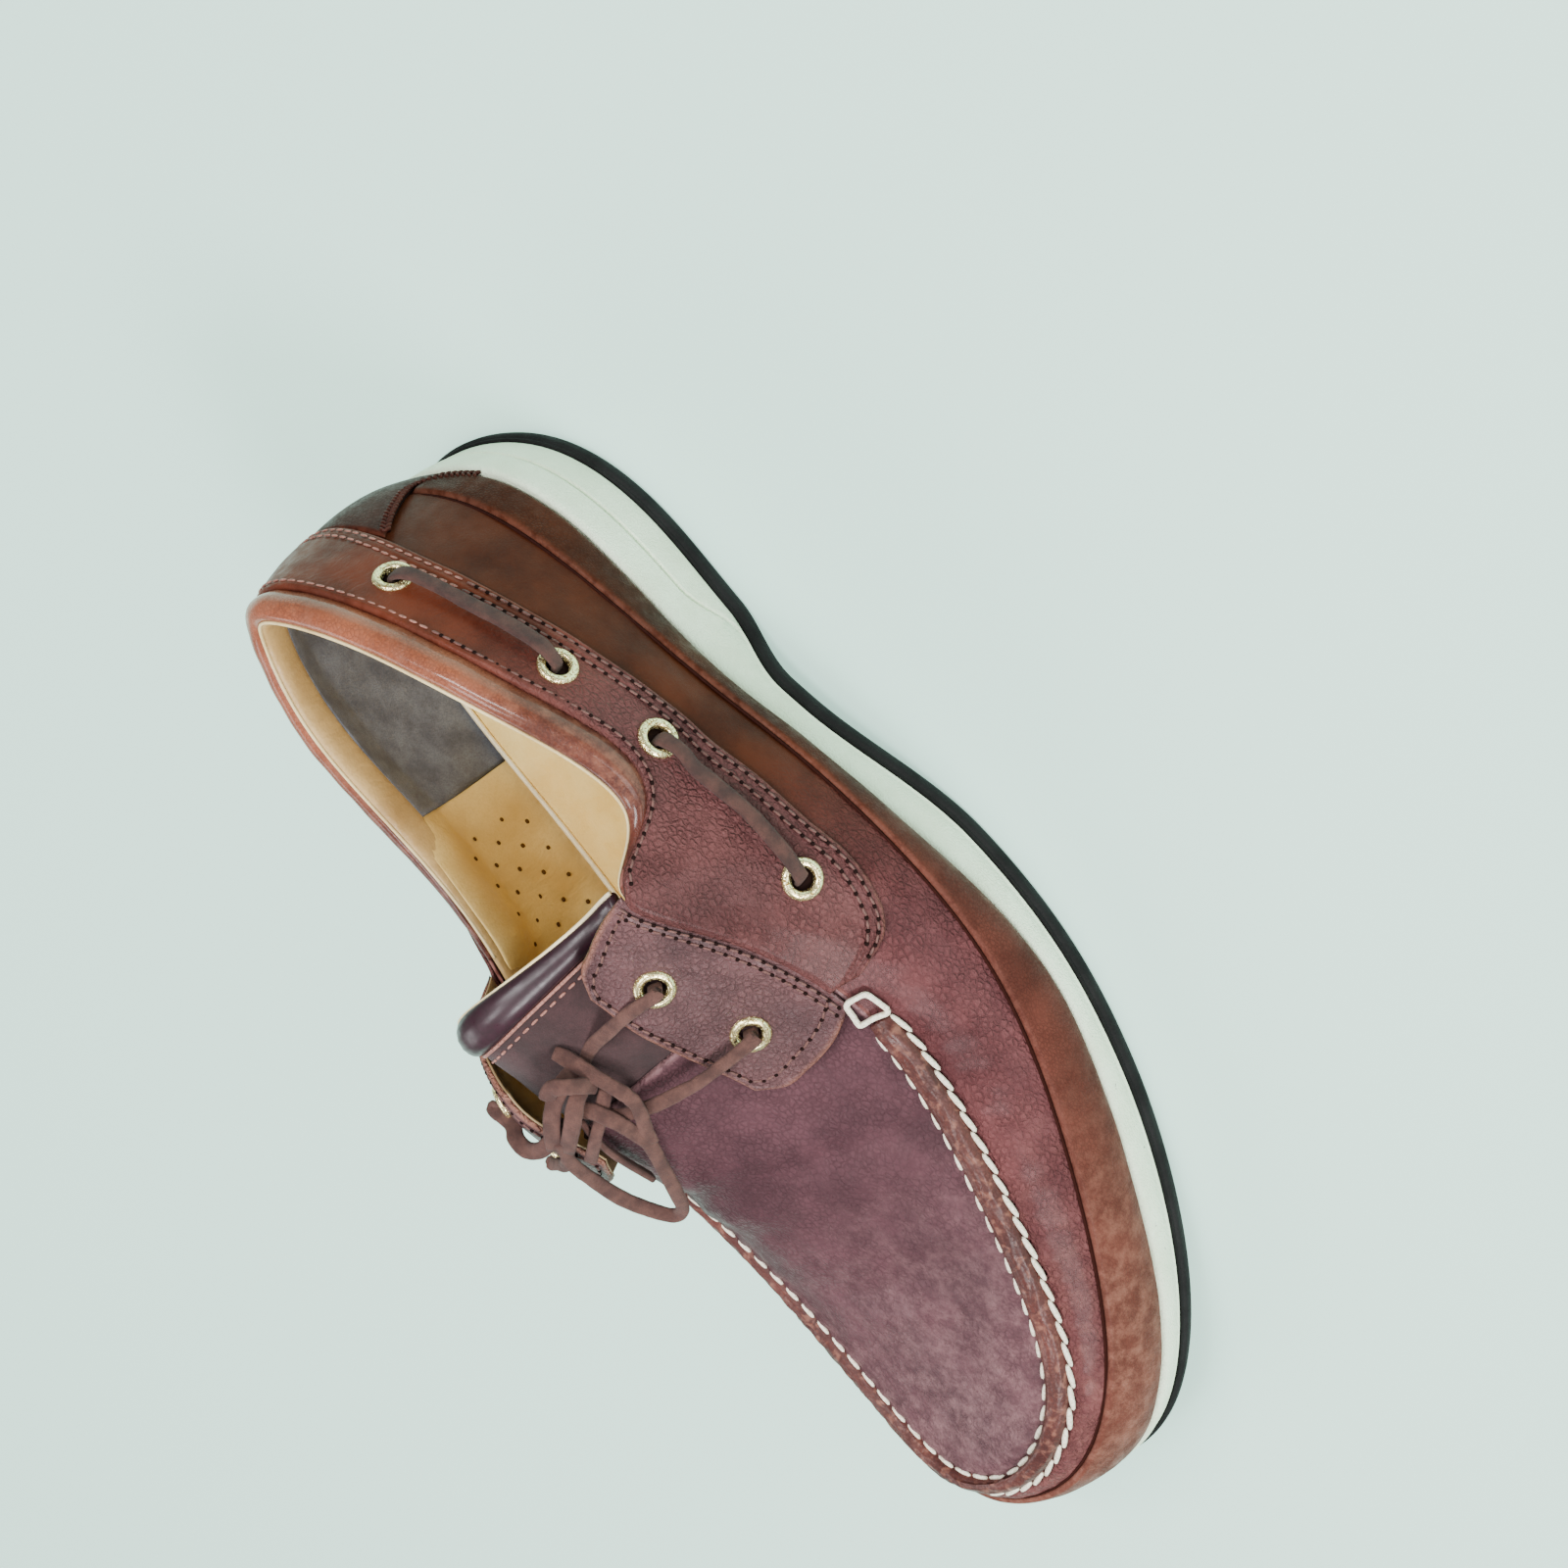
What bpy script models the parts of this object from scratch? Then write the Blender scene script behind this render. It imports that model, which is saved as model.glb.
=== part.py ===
"""A man's boat shoe, the left one of a pair: moccasin-toe leather upper on a two-colour rubber sole.

The frame: +X points to the toe, +Y to the wearer's left (the outer side of this shoe), +Z up. The
origin lies on the floor under the middle of the heel. The whole upper is one surface, worked out
from a few cross sections round the shoe. Every leather piece is cut from that surface.
"""

import math
from functools import lru_cache

import bpy
import bmesh
import numpy as np
from mathutils import Matrix, Vector

MM = 0.001  # the tables and sizes below are in millimetres

# Leather and sole thicknesses, and the gap kept between two pieces that are sewn or glued
GAP = 0.3
UPPER_WALL = 2.4
OVERLAY = 1.3
OUTSOLE_THICK = 4.4
INSOLE_THICK = 4.0
COLLAR_HEIGHT = 12.0
COLLAR_ENDS = (-3.92, 3.68)  # the sections where the padded collar stops, inner and outer

# The sole's underside: flat heel and forefoot, raised arch between them, toe turned up
ARCH_RISE = 5.9
TOE_SPRING = 18.0
HEEL_END_X = 36.0
ARCH_TOP_X = (58.0, 65.0)
FOREFOOT_START_X = 110.0
FOREFOOT_END_X = 172.0
TOE_END_X = 262.0

# Heights above the feather line, or below the top line, measured along the leather
BAND_START = 3.0
BAND_TOP_HEEL = 11.0
BAND_TOP_TOE = 18.5

# Each row is a cross section of the upper, in order round the shoe from the heel's back by the
# outer side to the toe and back by the inner side. The feather is where leather meets sole. The
# top line is the collar's edge at the back, the eyestay seam beside the tongue, and the moccasin
# seam round the forefoot. The handles bend the wall between the two, as in a Bezier curve.
#                 feather              top line             lower handle  upper handle
#                 x      y      z      x      y      z      out    up     out    down
STATIONS = (
    ("heel_back", -30.5, -5.5, 21.5, -22.5, -4.5, 82.5, 3.5, 20.0, 5.5, 15.5),
    ("heel_out", -18.0, 20.0, 23.0, -5.5, 15.5, 82.5, 0.5, 18.5, 3.0, 16.5),
    ("seat_out", 8.5, 33.5, 23.5, 25.0, 35.0, 79.0, 4.5, 15.0, 4.0, 17.0),
    ("quarter_out", 41.0, 37.5, 21.5, 58.5, 41.5, 69.5, 13.5, 13.5, 7.0, 17.5),
    ("waist_out", 71.0, 46.0, 19.0, 73.0, 35.5, 79.5, 19.0, 12.5, 11.0, 17.0),
    ("throat_out", 104.5, 56.0, 16.5, 95.5, 40.0, 64.0, 16.0, 13.5, 11.5, 12.0),
    ("ball_out", 143.0, 59.5, 12.0, 131.0, 42.0, 46.5, 9.5, 12.0, 10.5, 5.5),
    ("vamp_out", 183.5, 50.5, 14.0, 173.5, 34.5, 42.0, 6.5, 12.0, 10.5, 2.0),
    ("toe_out", 221.5, 34.5, 18.0, 212.5, 22.0, 41.5, 4.0, 12.0, 9.5, 0.0),
    ("corner_out", 244.5, 15.0, 22.5, 231.5, 7.5, 44.5, 2.0, 10.5, 8.0, -2.0),
    ("toe_tip", 250.0, -7.0, 22.5, 237.5, -11.5, 44.0, 1.5, 11.0, 9.0, -1.5),
    ("corner_in", 243.0, -28.5, 20.0, 232.5, -28.5, 42.0, 3.5, 11.5, 8.5, 1.0),
    ("toe_in", 220.5, -43.0, 15.0, 215.0, -39.0, 38.0, 6.0, 12.0, 7.5, 5.0),
    ("vamp_in", 185.0, -47.5, 11.5, 183.0, -43.5, 38.0, 8.5, 12.5, 8.5, 7.5),
    ("ball_in", 148.0, -44.5, 12.0, 143.5, -45.0, 45.0, 10.5, 14.5, 7.5, 10.0),
    ("throat_in", 108.0, -36.0, 15.0, 105.0, -42.5, 59.0, 9.0, 17.5, 7.0, 13.5),
    ("waist_in", 72.0, -31.5, 18.0, 72.0, -29.5, 67.5, 7.5, 18.0, 4.5, 16.5),
    ("quarter_in", 39.5, -33.0, 19.0, 40.0, -29.5, 68.5, 6.5, 18.0, 4.5, 16.0),
    ("seat_in", 4.5, -34.5, 20.0, 5.5, -29.0, 73.5, 5.5, 18.5, 5.5, 15.5),
    ("heel_in", -24.0, -27.5, 20.5, -18.5, -20.0, 77.0, 6.0, 20.5, 7.0, 15.5),
)
ROUND = len(STATIONS)
TOE = 10.0  # the toe tip's place in the table: sections pair up either side of it

# The instep and the moccasin plug span the shoe from top line to top line. Each row says how high
# the span's middle rises over a straight line, and how far its ridge leans to the inner side.
#    section  rise  lean
INSTEP = (
    (4.0, 18.0, 0.8),
    (4.5, 19.0, 0.8),
    (5.0, 23.0, 0.8),
    (5.5, 19.0, 1.0),
    (6.0, 13.5, 1.0),
    (6.5, 10.0, 0.8),
    (7.0, 6.0, 0.6),
    (8.0, 4.0, 0.3),
    (9.0, 2.5, 0.0),
    (10.0, 0.0, 0.0),
)


# ---------------------------------------------------------------- curves through the tables


def closed_spline(rows):
    """A smooth closed curve through rows one unit apart, as a function that returns a row."""
    table = np.array(rows, float)
    count = len(table)
    links = 4.0 * np.eye(count) + np.roll(np.eye(count), 1, 0) + np.roll(np.eye(count), -1, 0)
    slopes = np.linalg.solve(links, 3.0 * (np.roll(table, -1, 0) - np.roll(table, 1, 0)))

    def value(u):
        low = math.floor(u)
        t = u - low
        a, b = low % count, (low + 1) % count
        return (
            (2 * t**3 - 3 * t**2 + 1) * table[a]
            + (t**3 - 2 * t**2 + t) * slopes[a]
            + (3 * t**2 - 2 * t**3) * table[b]
            + (t**3 - t**2) * slopes[b]
        )

    return value


def open_spline(keys, rows):
    """A smooth open curve through rows at the given keys, held flat past its ends."""
    keys = np.array(keys, float)
    table = np.array(rows, float)
    slopes = np.gradient(table, keys, axis=0)

    def value(u):
        u = min(max(u, keys[0]), keys[-1])
        a = min(int(np.searchsorted(keys, u, side="right")) - 1, len(keys) - 2)
        span = keys[a + 1] - keys[a]
        t = (u - keys[a]) / span
        return (
            (2 * t**3 - 3 * t**2 + 1) * table[a]
            + (t**3 - 2 * t**2 + t) * slopes[a] * span
            + (3 * t**2 - 2 * t**3) * table[a + 1]
            + (t**3 - t**2) * slopes[a + 1] * span
        )

    return value


def smooth_step(x, start, end):
    t = min(max((x - start) / (end - start), 0.0), 1.0)
    return t * t * (3.0 - 2.0 * t)


def bezier(p0, p1, p2, p3, t):
    return (1 - t) ** 3 * p0 + 3 * (1 - t) ** 2 * t * p1 + 3 * (1 - t) * t**2 * p2 + t**3 * p3


station = closed_spline([row[1:] for row in STATIONS])
instep_row = open_spline([row[0] for row in INSTEP], [row[1:] for row in INSTEP])
UP = np.array([0.0, 0.0, 1.0])


# ---------------------------------------------------------------- the surface of the upper


@lru_cache(maxsize=None)
def outward(u):
    """The level direction that points out of the shoe at section u."""
    step = station(u + 0.01) - station(u - 0.01)
    normal = np.array([-step[1], step[0], 0.0])
    return normal / np.linalg.norm(normal)


@lru_cache(maxsize=None)
def wall_curve(u):
    """The wall's section: its four Bezier points, and its length up to each of many steps."""
    row = station(u)
    out = outward(u)
    feather, top = row[0:3], row[3:6]
    points = (feather, feather + out * row[6] + UP * row[7], top + out * row[8] - UP * row[9], top)
    steps = np.linspace(0.0, 1.0, 33)
    line = np.array([bezier(*points, t) for t in steps])
    lengths = np.concatenate([[0.0], np.cumsum(np.linalg.norm(np.diff(line, axis=0), axis=1))])
    return points, steps, lengths


def wall_length(u):
    return wall_curve(u)[2][-1]


def wall_point(u, height):
    """The point of the wall that lies height up the leather from the feather line."""
    points, steps, lengths = wall_curve(u)
    return bezier(*points, float(np.interp(height, lengths, steps)))


def arched(outer, inner, rise, lean, t):
    """A point at share t of an arch between two points; a lean moves its ridge to the inner one."""
    w = 1.0 - 2.0 * t
    return outer + (inner - outer) * t + UP * rise * (1.0 - w * w) * (1.0 - lean * w)


def span_point(s, t):
    """The point of the instep or plug at share t from the outer top line to the inner one."""
    rise, lean = instep_row(s)
    return arched(station(s)[3:6], station(2 * TOE - s)[3:6], rise, lean, t)


@lru_cache(maxsize=None)
def span_lengths(s):
    """The span's length from its outer end up to each of many steps."""
    steps = np.linspace(0.0, 1.0, 33)
    line = np.array([span_point(s, t) for t in steps])
    return steps, np.concatenate([[0.0], np.cumsum(np.linalg.norm(np.diff(line, axis=0), axis=1))])


def skin_point(u, d):
    """A point of the upper: d runs from the top line over the instep, or down the wall if negative."""
    if d <= 0.0:
        return wall_point(u, wall_length(u) + d)
    if u <= TOE:
        steps, lengths = span_lengths(u)
        return span_point(u, float(np.interp(d, lengths, steps)))
    steps, lengths = span_lengths(2 * TOE - u)
    return span_point(2 * TOE - u, float(np.interp(lengths[-1] - d, lengths, steps)))


def lifted(point, a, b, lift, da=0.02, db=0.6):
    """point(a, b) moved off its surface by lift, outward if positive."""
    along = point(a + da, b) - point(a - da, b)
    upward = point(a, b + db) - point(a, b - db)
    normal = np.cross(upward, along)
    return point(a, b) + normal / np.linalg.norm(normal) * lift


def wall_at(u, height, lift=0.0):
    return lifted(wall_point, u, height, lift)


def skin_at(u, d, lift=0.0):
    return lifted(skin_point, u, d, lift)


def ground(x):
    """Height of the sole's underside at x."""
    arch = ARCH_RISE * smooth_step(x, HEEL_END_X, ARCH_TOP_X[0])
    arch *= 1.0 - smooth_step(x, ARCH_TOP_X[1], FOREFOOT_START_X)
    toe = max(x - FOREFOOT_END_X, 0.0) / (TOE_END_X - FOREFOOT_END_X)
    return arch + TOE_SPRING * toe**2


def band_top(u):
    x = station(u)[0]
    return BAND_TOP_HEEL + (BAND_TOP_TOE - BAND_TOP_HEEL) * min(max((x + 40.0) / 280.0, 0.0), 1.0)


# ---------------------------------------------------------------- building and placing meshes


def clear_scene():
    for item in list(bpy.data.objects):
        bpy.data.objects.remove(item, do_unlink=True)


def new_collection(name):
    collection = bpy.data.collections.new(name)
    bpy.context.scene.collection.children.link(collection)
    return collection


def material(name, colour, roughness, metallic=0.0):
    made = bpy.data.materials.new(name)
    made.use_nodes = True
    shader = made.node_tree.nodes["Principled BSDF"]
    shader.inputs["Base Color"].default_value = (*colour, 1.0)
    shader.inputs["Roughness"].default_value = roughness
    shader.inputs["Metallic"].default_value = metallic
    return made


def add_mesh(name, points, faces, finish, collection):
    """A smooth-shaded mesh object from points in millimetres."""
    mesh = bpy.data.meshes.new(name)
    mesh.from_pydata([tuple(float(c) * MM for c in p) for p in points], [], faces)
    shaped = bmesh.new()
    shaped.from_mesh(mesh)
    bmesh.ops.remove_doubles(shaped, verts=shaped.verts, dist=0.02 * MM)
    bmesh.ops.recalc_face_normals(shaped, faces=shaped.faces)
    if shaped.calc_volume(signed=True) < 0.0:
        bmesh.ops.reverse_faces(shaped, faces=shaped.faces)
    shaped.to_mesh(mesh)
    shaped.free()
    mesh.shade_smooth()
    mesh.set_sharp_from_angle(angle=math.radians(50))
    mesh.materials.append(finish)
    made = bpy.data.objects.new(name, mesh)
    collection.objects.link(made)
    return made


def grid_faces(rows, columns, start=0, closed=False, flip=False):
    """The quads of a grid whose points are stored row by row. A closed one joins last row to first."""
    faces = []
    for r in range(rows if closed else rows - 1):
        for c in range(columns - 1):
            a = start + r * columns + c
            b = start + (r + 1) % rows * columns + c
            faces.append((a, b, b + 1, a + 1) if not flip else (a, a + 1, b + 1, b))
    return faces


def add_shell(name, outer, inner, closed, finish, collection):
    """A closed solid between two grids of points, rims included. A closed one is a ring of rows."""
    rows, columns = len(outer), len(outer[0])
    points = [p for row in outer for p in row] + [p for row in inner for p in row]
    second = rows * columns
    faces = grid_faces(rows, columns, 0, closed) + grid_faces(rows, columns, second, closed, True)
    for r in range(rows if closed else rows - 1):
        a, b = r * columns, (r + 1) % rows * columns
        faces.append((a, second + a, second + b, b))
        a, b = a + columns - 1, b + columns - 1
        faces.append((a, b, second + b, second + a))
    if not closed:
        for c in range(columns - 1):
            last = (rows - 1) * columns
            faces.append((c, c + 1, second + c + 1, second + c))
            faces.append((last + c, second + last + c, second + last + c + 1, last + c + 1))
    return add_mesh(name, points, faces, finish, collection)


def add_loft(name, rings, finish, collection, ends):
    """A solid through closed rings of points. ends says how its two ends close: 'ladder' spans a ring
    that runs round the shoe with straight rungs from side to side, 'fan' fills a small one."""
    count = len(rings[0])
    points = [p for ring in rings for p in ring]
    faces = []
    for r in range(len(rings) - 1):
        for c in range(count):
            a, b = r * count + c, r * count + (c + 1) % count
            faces.append((a, b, b + count, a + count))
    for start in (0, (len(rings) - 1) * count):
        ring = list(range(start, start + count))
        if ends == "ladder":
            half = count // 2
            for k in range(half):
                a, b = ring[k], ring[k + 1]
                c, d = ring[(count - k - 1) % count], ring[(count - k) % count]
                faces.append(tuple(dict.fromkeys((a, b, c, d))))
        else:
            faces.append(tuple(ring))
    return add_mesh(name, points, faces, finish, collection)


def frame_on(place, outward_point):
    """A turn and shift that stands +Z along the surface's outward direction at a place."""
    axis = Vector(outward_point) - Vector(place)
    turn = axis.to_track_quat("Z", "Y").to_matrix().to_4x4()
    return Matrix.Translation(Vector(place) * MM) @ turn


def cut_hole(target, matrix, radius, cutters):
    """Cuts a round hole through target where a cylinder on matrix stands."""
    bpy.ops.mesh.primitive_cylinder_add(vertices=12, radius=radius * MM, depth=7.0 * MM)
    cutter = bpy.context.active_object
    cutter.name = f"{target.name}_hole"
    cutter.matrix_world = matrix
    cutter.hide_render = True
    cutter.display_type = "WIRE"
    for owner in list(cutter.users_collection):
        owner.objects.unlink(cutter)
    cutters.objects.link(cutter)
    cut = target.modifiers.new("eyelet hole", "BOOLEAN")
    cut.operation = "DIFFERENCE"
    cut.solver = "EXACT"
    cut.object = cutter


# ---------------------------------------------------------------- the pieces

STEP = ROUND / 64.0
AROUND = [k * STEP for k in range(64)]


def ring_round(offset, height):
    """A ring of points round the sole: offset out from the feather line, at height(u)."""
    ring = []
    for u in AROUND:
        p = station(u)[0:3] + outward(u) * (offset(u) if callable(offset) else offset)
        ring.append(np.array([p[0], p[1], height(u, p[0])]))
    return ring


def make_outsole(finish, collection):
    """The dark rubber tread: a slab along the underside, a little wider than the midsole."""
    rings = [
        ring_round(1.6, lambda u, x: ground(x)),
        ring_round(2.9, lambda u, x: ground(x) + 0.9),
        ring_round(3.2, lambda u, x: ground(x) + 3.2),
        ring_round(2.5, lambda u, x: ground(x) + OUTSOLE_THICK),
    ]
    return add_loft("outsole", rings, finish, collection, "ladder")


def make_midsole(finish, collection):
    """The pale midsole: full length, with a groove in its side that sets off a lower heel layer."""

    def groove(u):
        x = station(u)[0]
        return 1.0 - smooth_step(x, 26.0, 44.0)

    def bottom(u, x):
        return ground(x) + OUTSOLE_THICK + GAP

    def split(u, x):
        """Height of the groove: 9.6 mm under the top at the heel, sinking to the tread by the arch."""
        deep = station(u)[2] - 9.6
        return bottom(u, x) + 1.5 + (max(deep, bottom(u, x) + 1.5) - bottom(u, x) - 1.5) * groove(u)

    def top(u, x):
        return station(u)[2] - GAP

    rings = [
        ring_round(lambda u: 1.6 - 0.8 * groove(u), bottom),
        ring_round(lambda u: 2.0, lambda u, x: bottom(u, x) + 0.7),
        ring_round(lambda u: 2.2, lambda u, x: split(u, x) - 0.5),
        ring_round(lambda u: 2.3 - 1.4 * groove(u), split),
        ring_round(lambda u: 2.5, lambda u, x: split(u, x) + 0.7),
        ring_round(lambda u: 1.9, lambda u, x: top(u, x) - 0.4),
        ring_round(lambda u: 1.2, top),
    ]
    return add_loft("midsole", rings, finish, collection, "ladder")


def make_insole(finish, collection):
    """The footbed inside the upper, on top of the midsole."""
    inset = -(UPPER_WALL + 1.0)
    rings = [
        ring_round(inset - 0.8, lambda u, x: station(u)[2] + GAP),
        ring_round(inset, lambda u, x: station(u)[2] + 1.2),
        ring_round(inset, lambda u, x: station(u)[2] + INSOLE_THICK),
        ring_round(inset - 4.5, lambda u, x: station(u)[2] + INSOLE_THICK),
    ]
    return add_loft("insole", rings, finish, collection, "ladder")


THROAT_SECTION = 5.3125  # the plug's rear edge, under the eyestays
PLUG_COLUMNS = 13


def past_collar(u, gap, reach):
    """0 along the collar, rising to 1 over the reach that starts at a gap in front of its ends."""
    u = (u + ROUND / 2) % ROUND - ROUND / 2
    beyond = u - COLLAR_ENDS[1] if u > 0 else COLLAR_ENDS[0] - u
    return smooth_step(beyond, gap, reach)


def collar_cut(u):
    """How far below the top line the upper's wall ends: the padded collar takes its place there."""
    return (COLLAR_HEIGHT + GAP) * (1.0 - past_collar(u, 0.15, 0.5))


def make_upper(finish, collection):
    """One hollow leather shell: wall all round and moccasin plug, open at collar, throat and bottom."""
    columns = 8
    points, faces = [], []
    for u in AROUND:
        top = wall_length(u) - collar_cut(u)
        points += [wall_point(u, top * c / (columns - 1)) for c in range(columns)]
    faces += grid_faces(len(AROUND), columns, 0, closed=True)
    first_plug = len(points)
    sections = [u for u in AROUND if THROAT_SECTION <= u <= TOE]
    for s in sections:
        points += [span_point(s, c / (PLUG_COLUMNS - 1)) for c in range(PLUG_COLUMNS)]
    faces += grid_faces(len(sections), PLUG_COLUMNS, first_plug)
    shell = add_mesh("upper", points, faces, finish, collection)
    thick = shell.modifiers.new("leather", "SOLIDIFY")
    thick.thickness = UPPER_WALL * MM
    thick.offset = -1.0
    thick.use_even_offset = True
    thick.use_quality_normals = True
    return shell


# The backstay's two side edges. The mudguard stops just short of them.
PATCH_ENDS = (-0.64, 0.74)
SEAM_GAP = 0.05


def make_band(finish, collection):
    """The mudguard: a strip of leather round the foot of the upper, from one side of the backstay
    to the other."""
    ends = (PATCH_ENDS[1] + SEAM_GAP, PATCH_ENDS[0] + ROUND - SEAM_GAP)
    outer, inner = [], []
    for u in [ends[0]] + [u for u in AROUND if ends[0] < u < ends[1]] + [ends[1]]:
        heights = np.linspace(BAND_START, band_top(u), 4)
        outer.append([wall_at(u, h, GAP + OVERLAY) for h in heights])
        inner.append([wall_at(u, h, GAP) for h in heights])
    return add_shell("mudguard_band", outer, inner, False, finish, collection)


# The lace strip's lower edge. It sweeps up at both front ends.
#    section  height up the leather
STRIP_LOWER_EDGE = (
    (-5.45, 37.0),
    (-5.35, 31.5),
    (-5.2, 28.0),
    (-5.0, 26.5),
    (-4.0, 27.0),
    (-2.0, 28.0),
    (-1.0, 29.0),
    (0.0, 29.5),
    (1.0, 32.5),
    (2.0, 31.0),
    (3.0, 28.5),
    (4.0, 27.5),
    (4.52, 27.3),
    (5.0, 26.0),
    (5.21, 27.3),
    (5.38, 29.5),
    (5.5, 33.0),
    (5.6, 38.5),
    (5.66, 42.5),
)
strip_low = open_spline([row[0] for row in STRIP_LOWER_EDGE], [row[1:] for row in STRIP_LOWER_EDGE])
STRIP_ENDS = (-5.45, 5.66)
STRIP_GAP = 0.5
STRIP_TRIM = 1.2  # how far the strip's top edge lies under the top line


def strip_edges(u):
    """The lace strip's lower and upper edges, up the leather from the feather."""
    trim = STRIP_TRIM + (COLLAR_HEIGHT - 0.1) * (1.0 - past_collar(u, 0.08, 0.5))
    return float(strip_low(u)[0]), wall_length(u) - trim


def make_strip(finish, collection, cutters):
    """The tunnel strip that the side laces run under, round the heel from eyestay to eyestay."""
    outer, inner = [], []
    middle = np.linspace(-4.9, 4.9, 36)
    fronts = np.linspace(STRIP_ENDS[0], -4.9, 6)[:-1], np.linspace(4.9, STRIP_ENDS[1], 7)[1:]
    for u in (*fronts[0], *middle, *fronts[1]):
        low, high = strip_edges(u)
        heights = np.linspace(low, high, 4)
        outer.append([wall_at(u, h, STRIP_GAP + OVERLAY) for h in heights])
        inner.append([wall_at(u, h, STRIP_GAP) for h in heights])
    strip = add_shell("lace_strip", outer, inner, False, finish, collection)
    for matrix in side_eyelet_places(0.0):
        cut_hole(strip, matrix, EYELET_HOLE, cutters)
    return strip


def make_heel_patch(finish, collection):
    """The backstay, from the sole up to the lace strip, with the mudguard ending at both its sides."""
    outer, inner = [], []
    for u in (PATCH_ENDS[0], -0.47, -STEP, -0.16, 0.0, 0.16, STEP, 0.47, 2 * STEP, PATCH_ENDS[1]):
        heights = np.linspace(BAND_START, strip_edges(u)[0] - 0.8, 6)
        outer.append([wall_at(u, h, GAP + OVERLAY) for h in heights])
        inner.append([wall_at(u, h, GAP) for h in heights])
    return add_shell("heel_patch", outer, inner, False, finish, collection)


# The padded collar's section: down from the top line, and out from the wall's face
COLLAR_SECTION = (
    (-12.0, -0.1),
    (-9.5, 1.3),
    (-5.5, 1.8),
    (-2.0, 1.1),
    (-0.2, -0.6),
    (-0.6, -3.0),
    (-3.5, -4.8),
    (-7.5, -5.2),
    (-11.0, -4.4),
    (-12.0, -2.6),
)


def make_collar(finish, collection):
    """The padded roll along the collar, from one eyestay round the heel to the other."""
    rings = []
    for u in [COLLAR_ENDS[0]] + [k * STEP for k in range(-12, 12)] + [COLLAR_ENDS[1]]:
        end = COLLAR_ENDS[1] if u > 0 else -COLLAR_ENDS[0]
        taper = 0.55 + 0.45 * (1.0 - smooth_step(abs(u), end - 0.48, end))
        ring = []
        for d, out in COLLAR_SECTION:
            share = taper if out > -3.0 else 0.4 + 0.6 * taper
            ring.append(wall_at(u, wall_length(u) + d, out * share))
        rings.append(ring)
    return add_loft("collar", rings, finish, collection, "fan")


# The eyestays. Each row is a line up the flap: its share of the way from the seam to the free edge,
# and the sections where the rear and front edges cross it.
#                 share  rear  front
EYESTAY_OUTER = (
    (0.0, 4.02, 5.77),
    (0.3, 4.13, 5.86),
    (0.6, 4.28, 5.88),
    (0.85, 4.42, 5.86),
    (1.0, 4.62, 5.76),
)
EYESTAY_INNER = (
    (0.0, 4.02, 5.50),
    (0.3, 4.16, 5.57),
    (0.6, 4.36, 5.58),
    (0.85, 4.58, 5.56),
    (1.0, 4.80, 5.46),
)
# How far each flap's free edge reaches from the seam, by section
EYESTAY_REACH = {
    "outer": open_spline((4.0, 4.6, 5.1, 5.4, 5.8), ((27.0,), (28.0,), (33.0,), (34.0,), (32.5,))),
    "inner": open_spline((4.0, 4.6, 5.1, 5.4, 5.6), ((24.0,), (29.0,), (36.0,), (35.5,), (32.0,))),
}
EYESTAY_RISE = {"outer": 1.0, "inner": 4.0}  # how far the flap stands off the instep past its middle
EYESTAY_LAP = 0.2
EYESTAY_CLEAR = 0.5
EYESTAY_THICK = 1.8


def eyestay_point(side, s, share, lift=0.0):
    u = s if side == "outer" else 2 * TOE - s
    d = EYESTAY_LAP + (float(EYESTAY_REACH[side](s)[0]) - EYESTAY_LAP) * share
    return skin_at(u, d, EYESTAY_CLEAR + EYESTAY_RISE[side] * smooth_step(share, 0.0, 0.6) + lift)


def make_eyestay(side, finish, collection, cutters):
    """The flap with two eyelets beside the tongue, sewn to the quarter along the top line."""
    table = EYESTAY_OUTER if side == "outer" else EYESTAY_INNER
    edges = open_spline([row[0] for row in table], [row[1:] for row in table])
    outer, inner = [], []
    for share in np.linspace(0.0, 1.0, 7):
        rear, front = edges(share)
        places = [rear + (front - rear) * k / 8.0 for k in range(9)]
        outer.append([eyestay_point(side, s, share, EYESTAY_THICK) for s in places])
        inner.append([eyestay_point(side, s, share) for s in places])
    flap = add_shell(f"eyestay_{side}", outer, inner, False, finish, collection)
    for matrix in eyestay_eyelet_places(side, 0.0):
        cut_hole(flap, matrix, EYELET_HOLE, cutters)
    return flap


# The tongue is an arch too. Its rows run from the root under the plug to the padded top edge.
#   outer    inner    rise  lean  drop  thick
#   section  section
TONGUE = (
    (5.75, 5.65, 16.5, 1.0, 5.0, 2.0),
    (5.35, 5.35, 20.5, 0.9, 5.0, 2.0),
    (5.00, 5.05, 22.5, 0.8, 4.4, 2.3),
    (4.60, 4.75, 19.0, 1.3, 3.6, 2.5),
    (4.25, 4.50, 15.5, 2.1, 2.2, 4.2),
    (4.05, 4.35, 14.0, 2.6, 1.0, 5.6),
    (3.92, 4.28, 13.0, 2.7, 1.5, 2.6),
)
TONGUE_EDGES = (0.15, 0.90)


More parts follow.
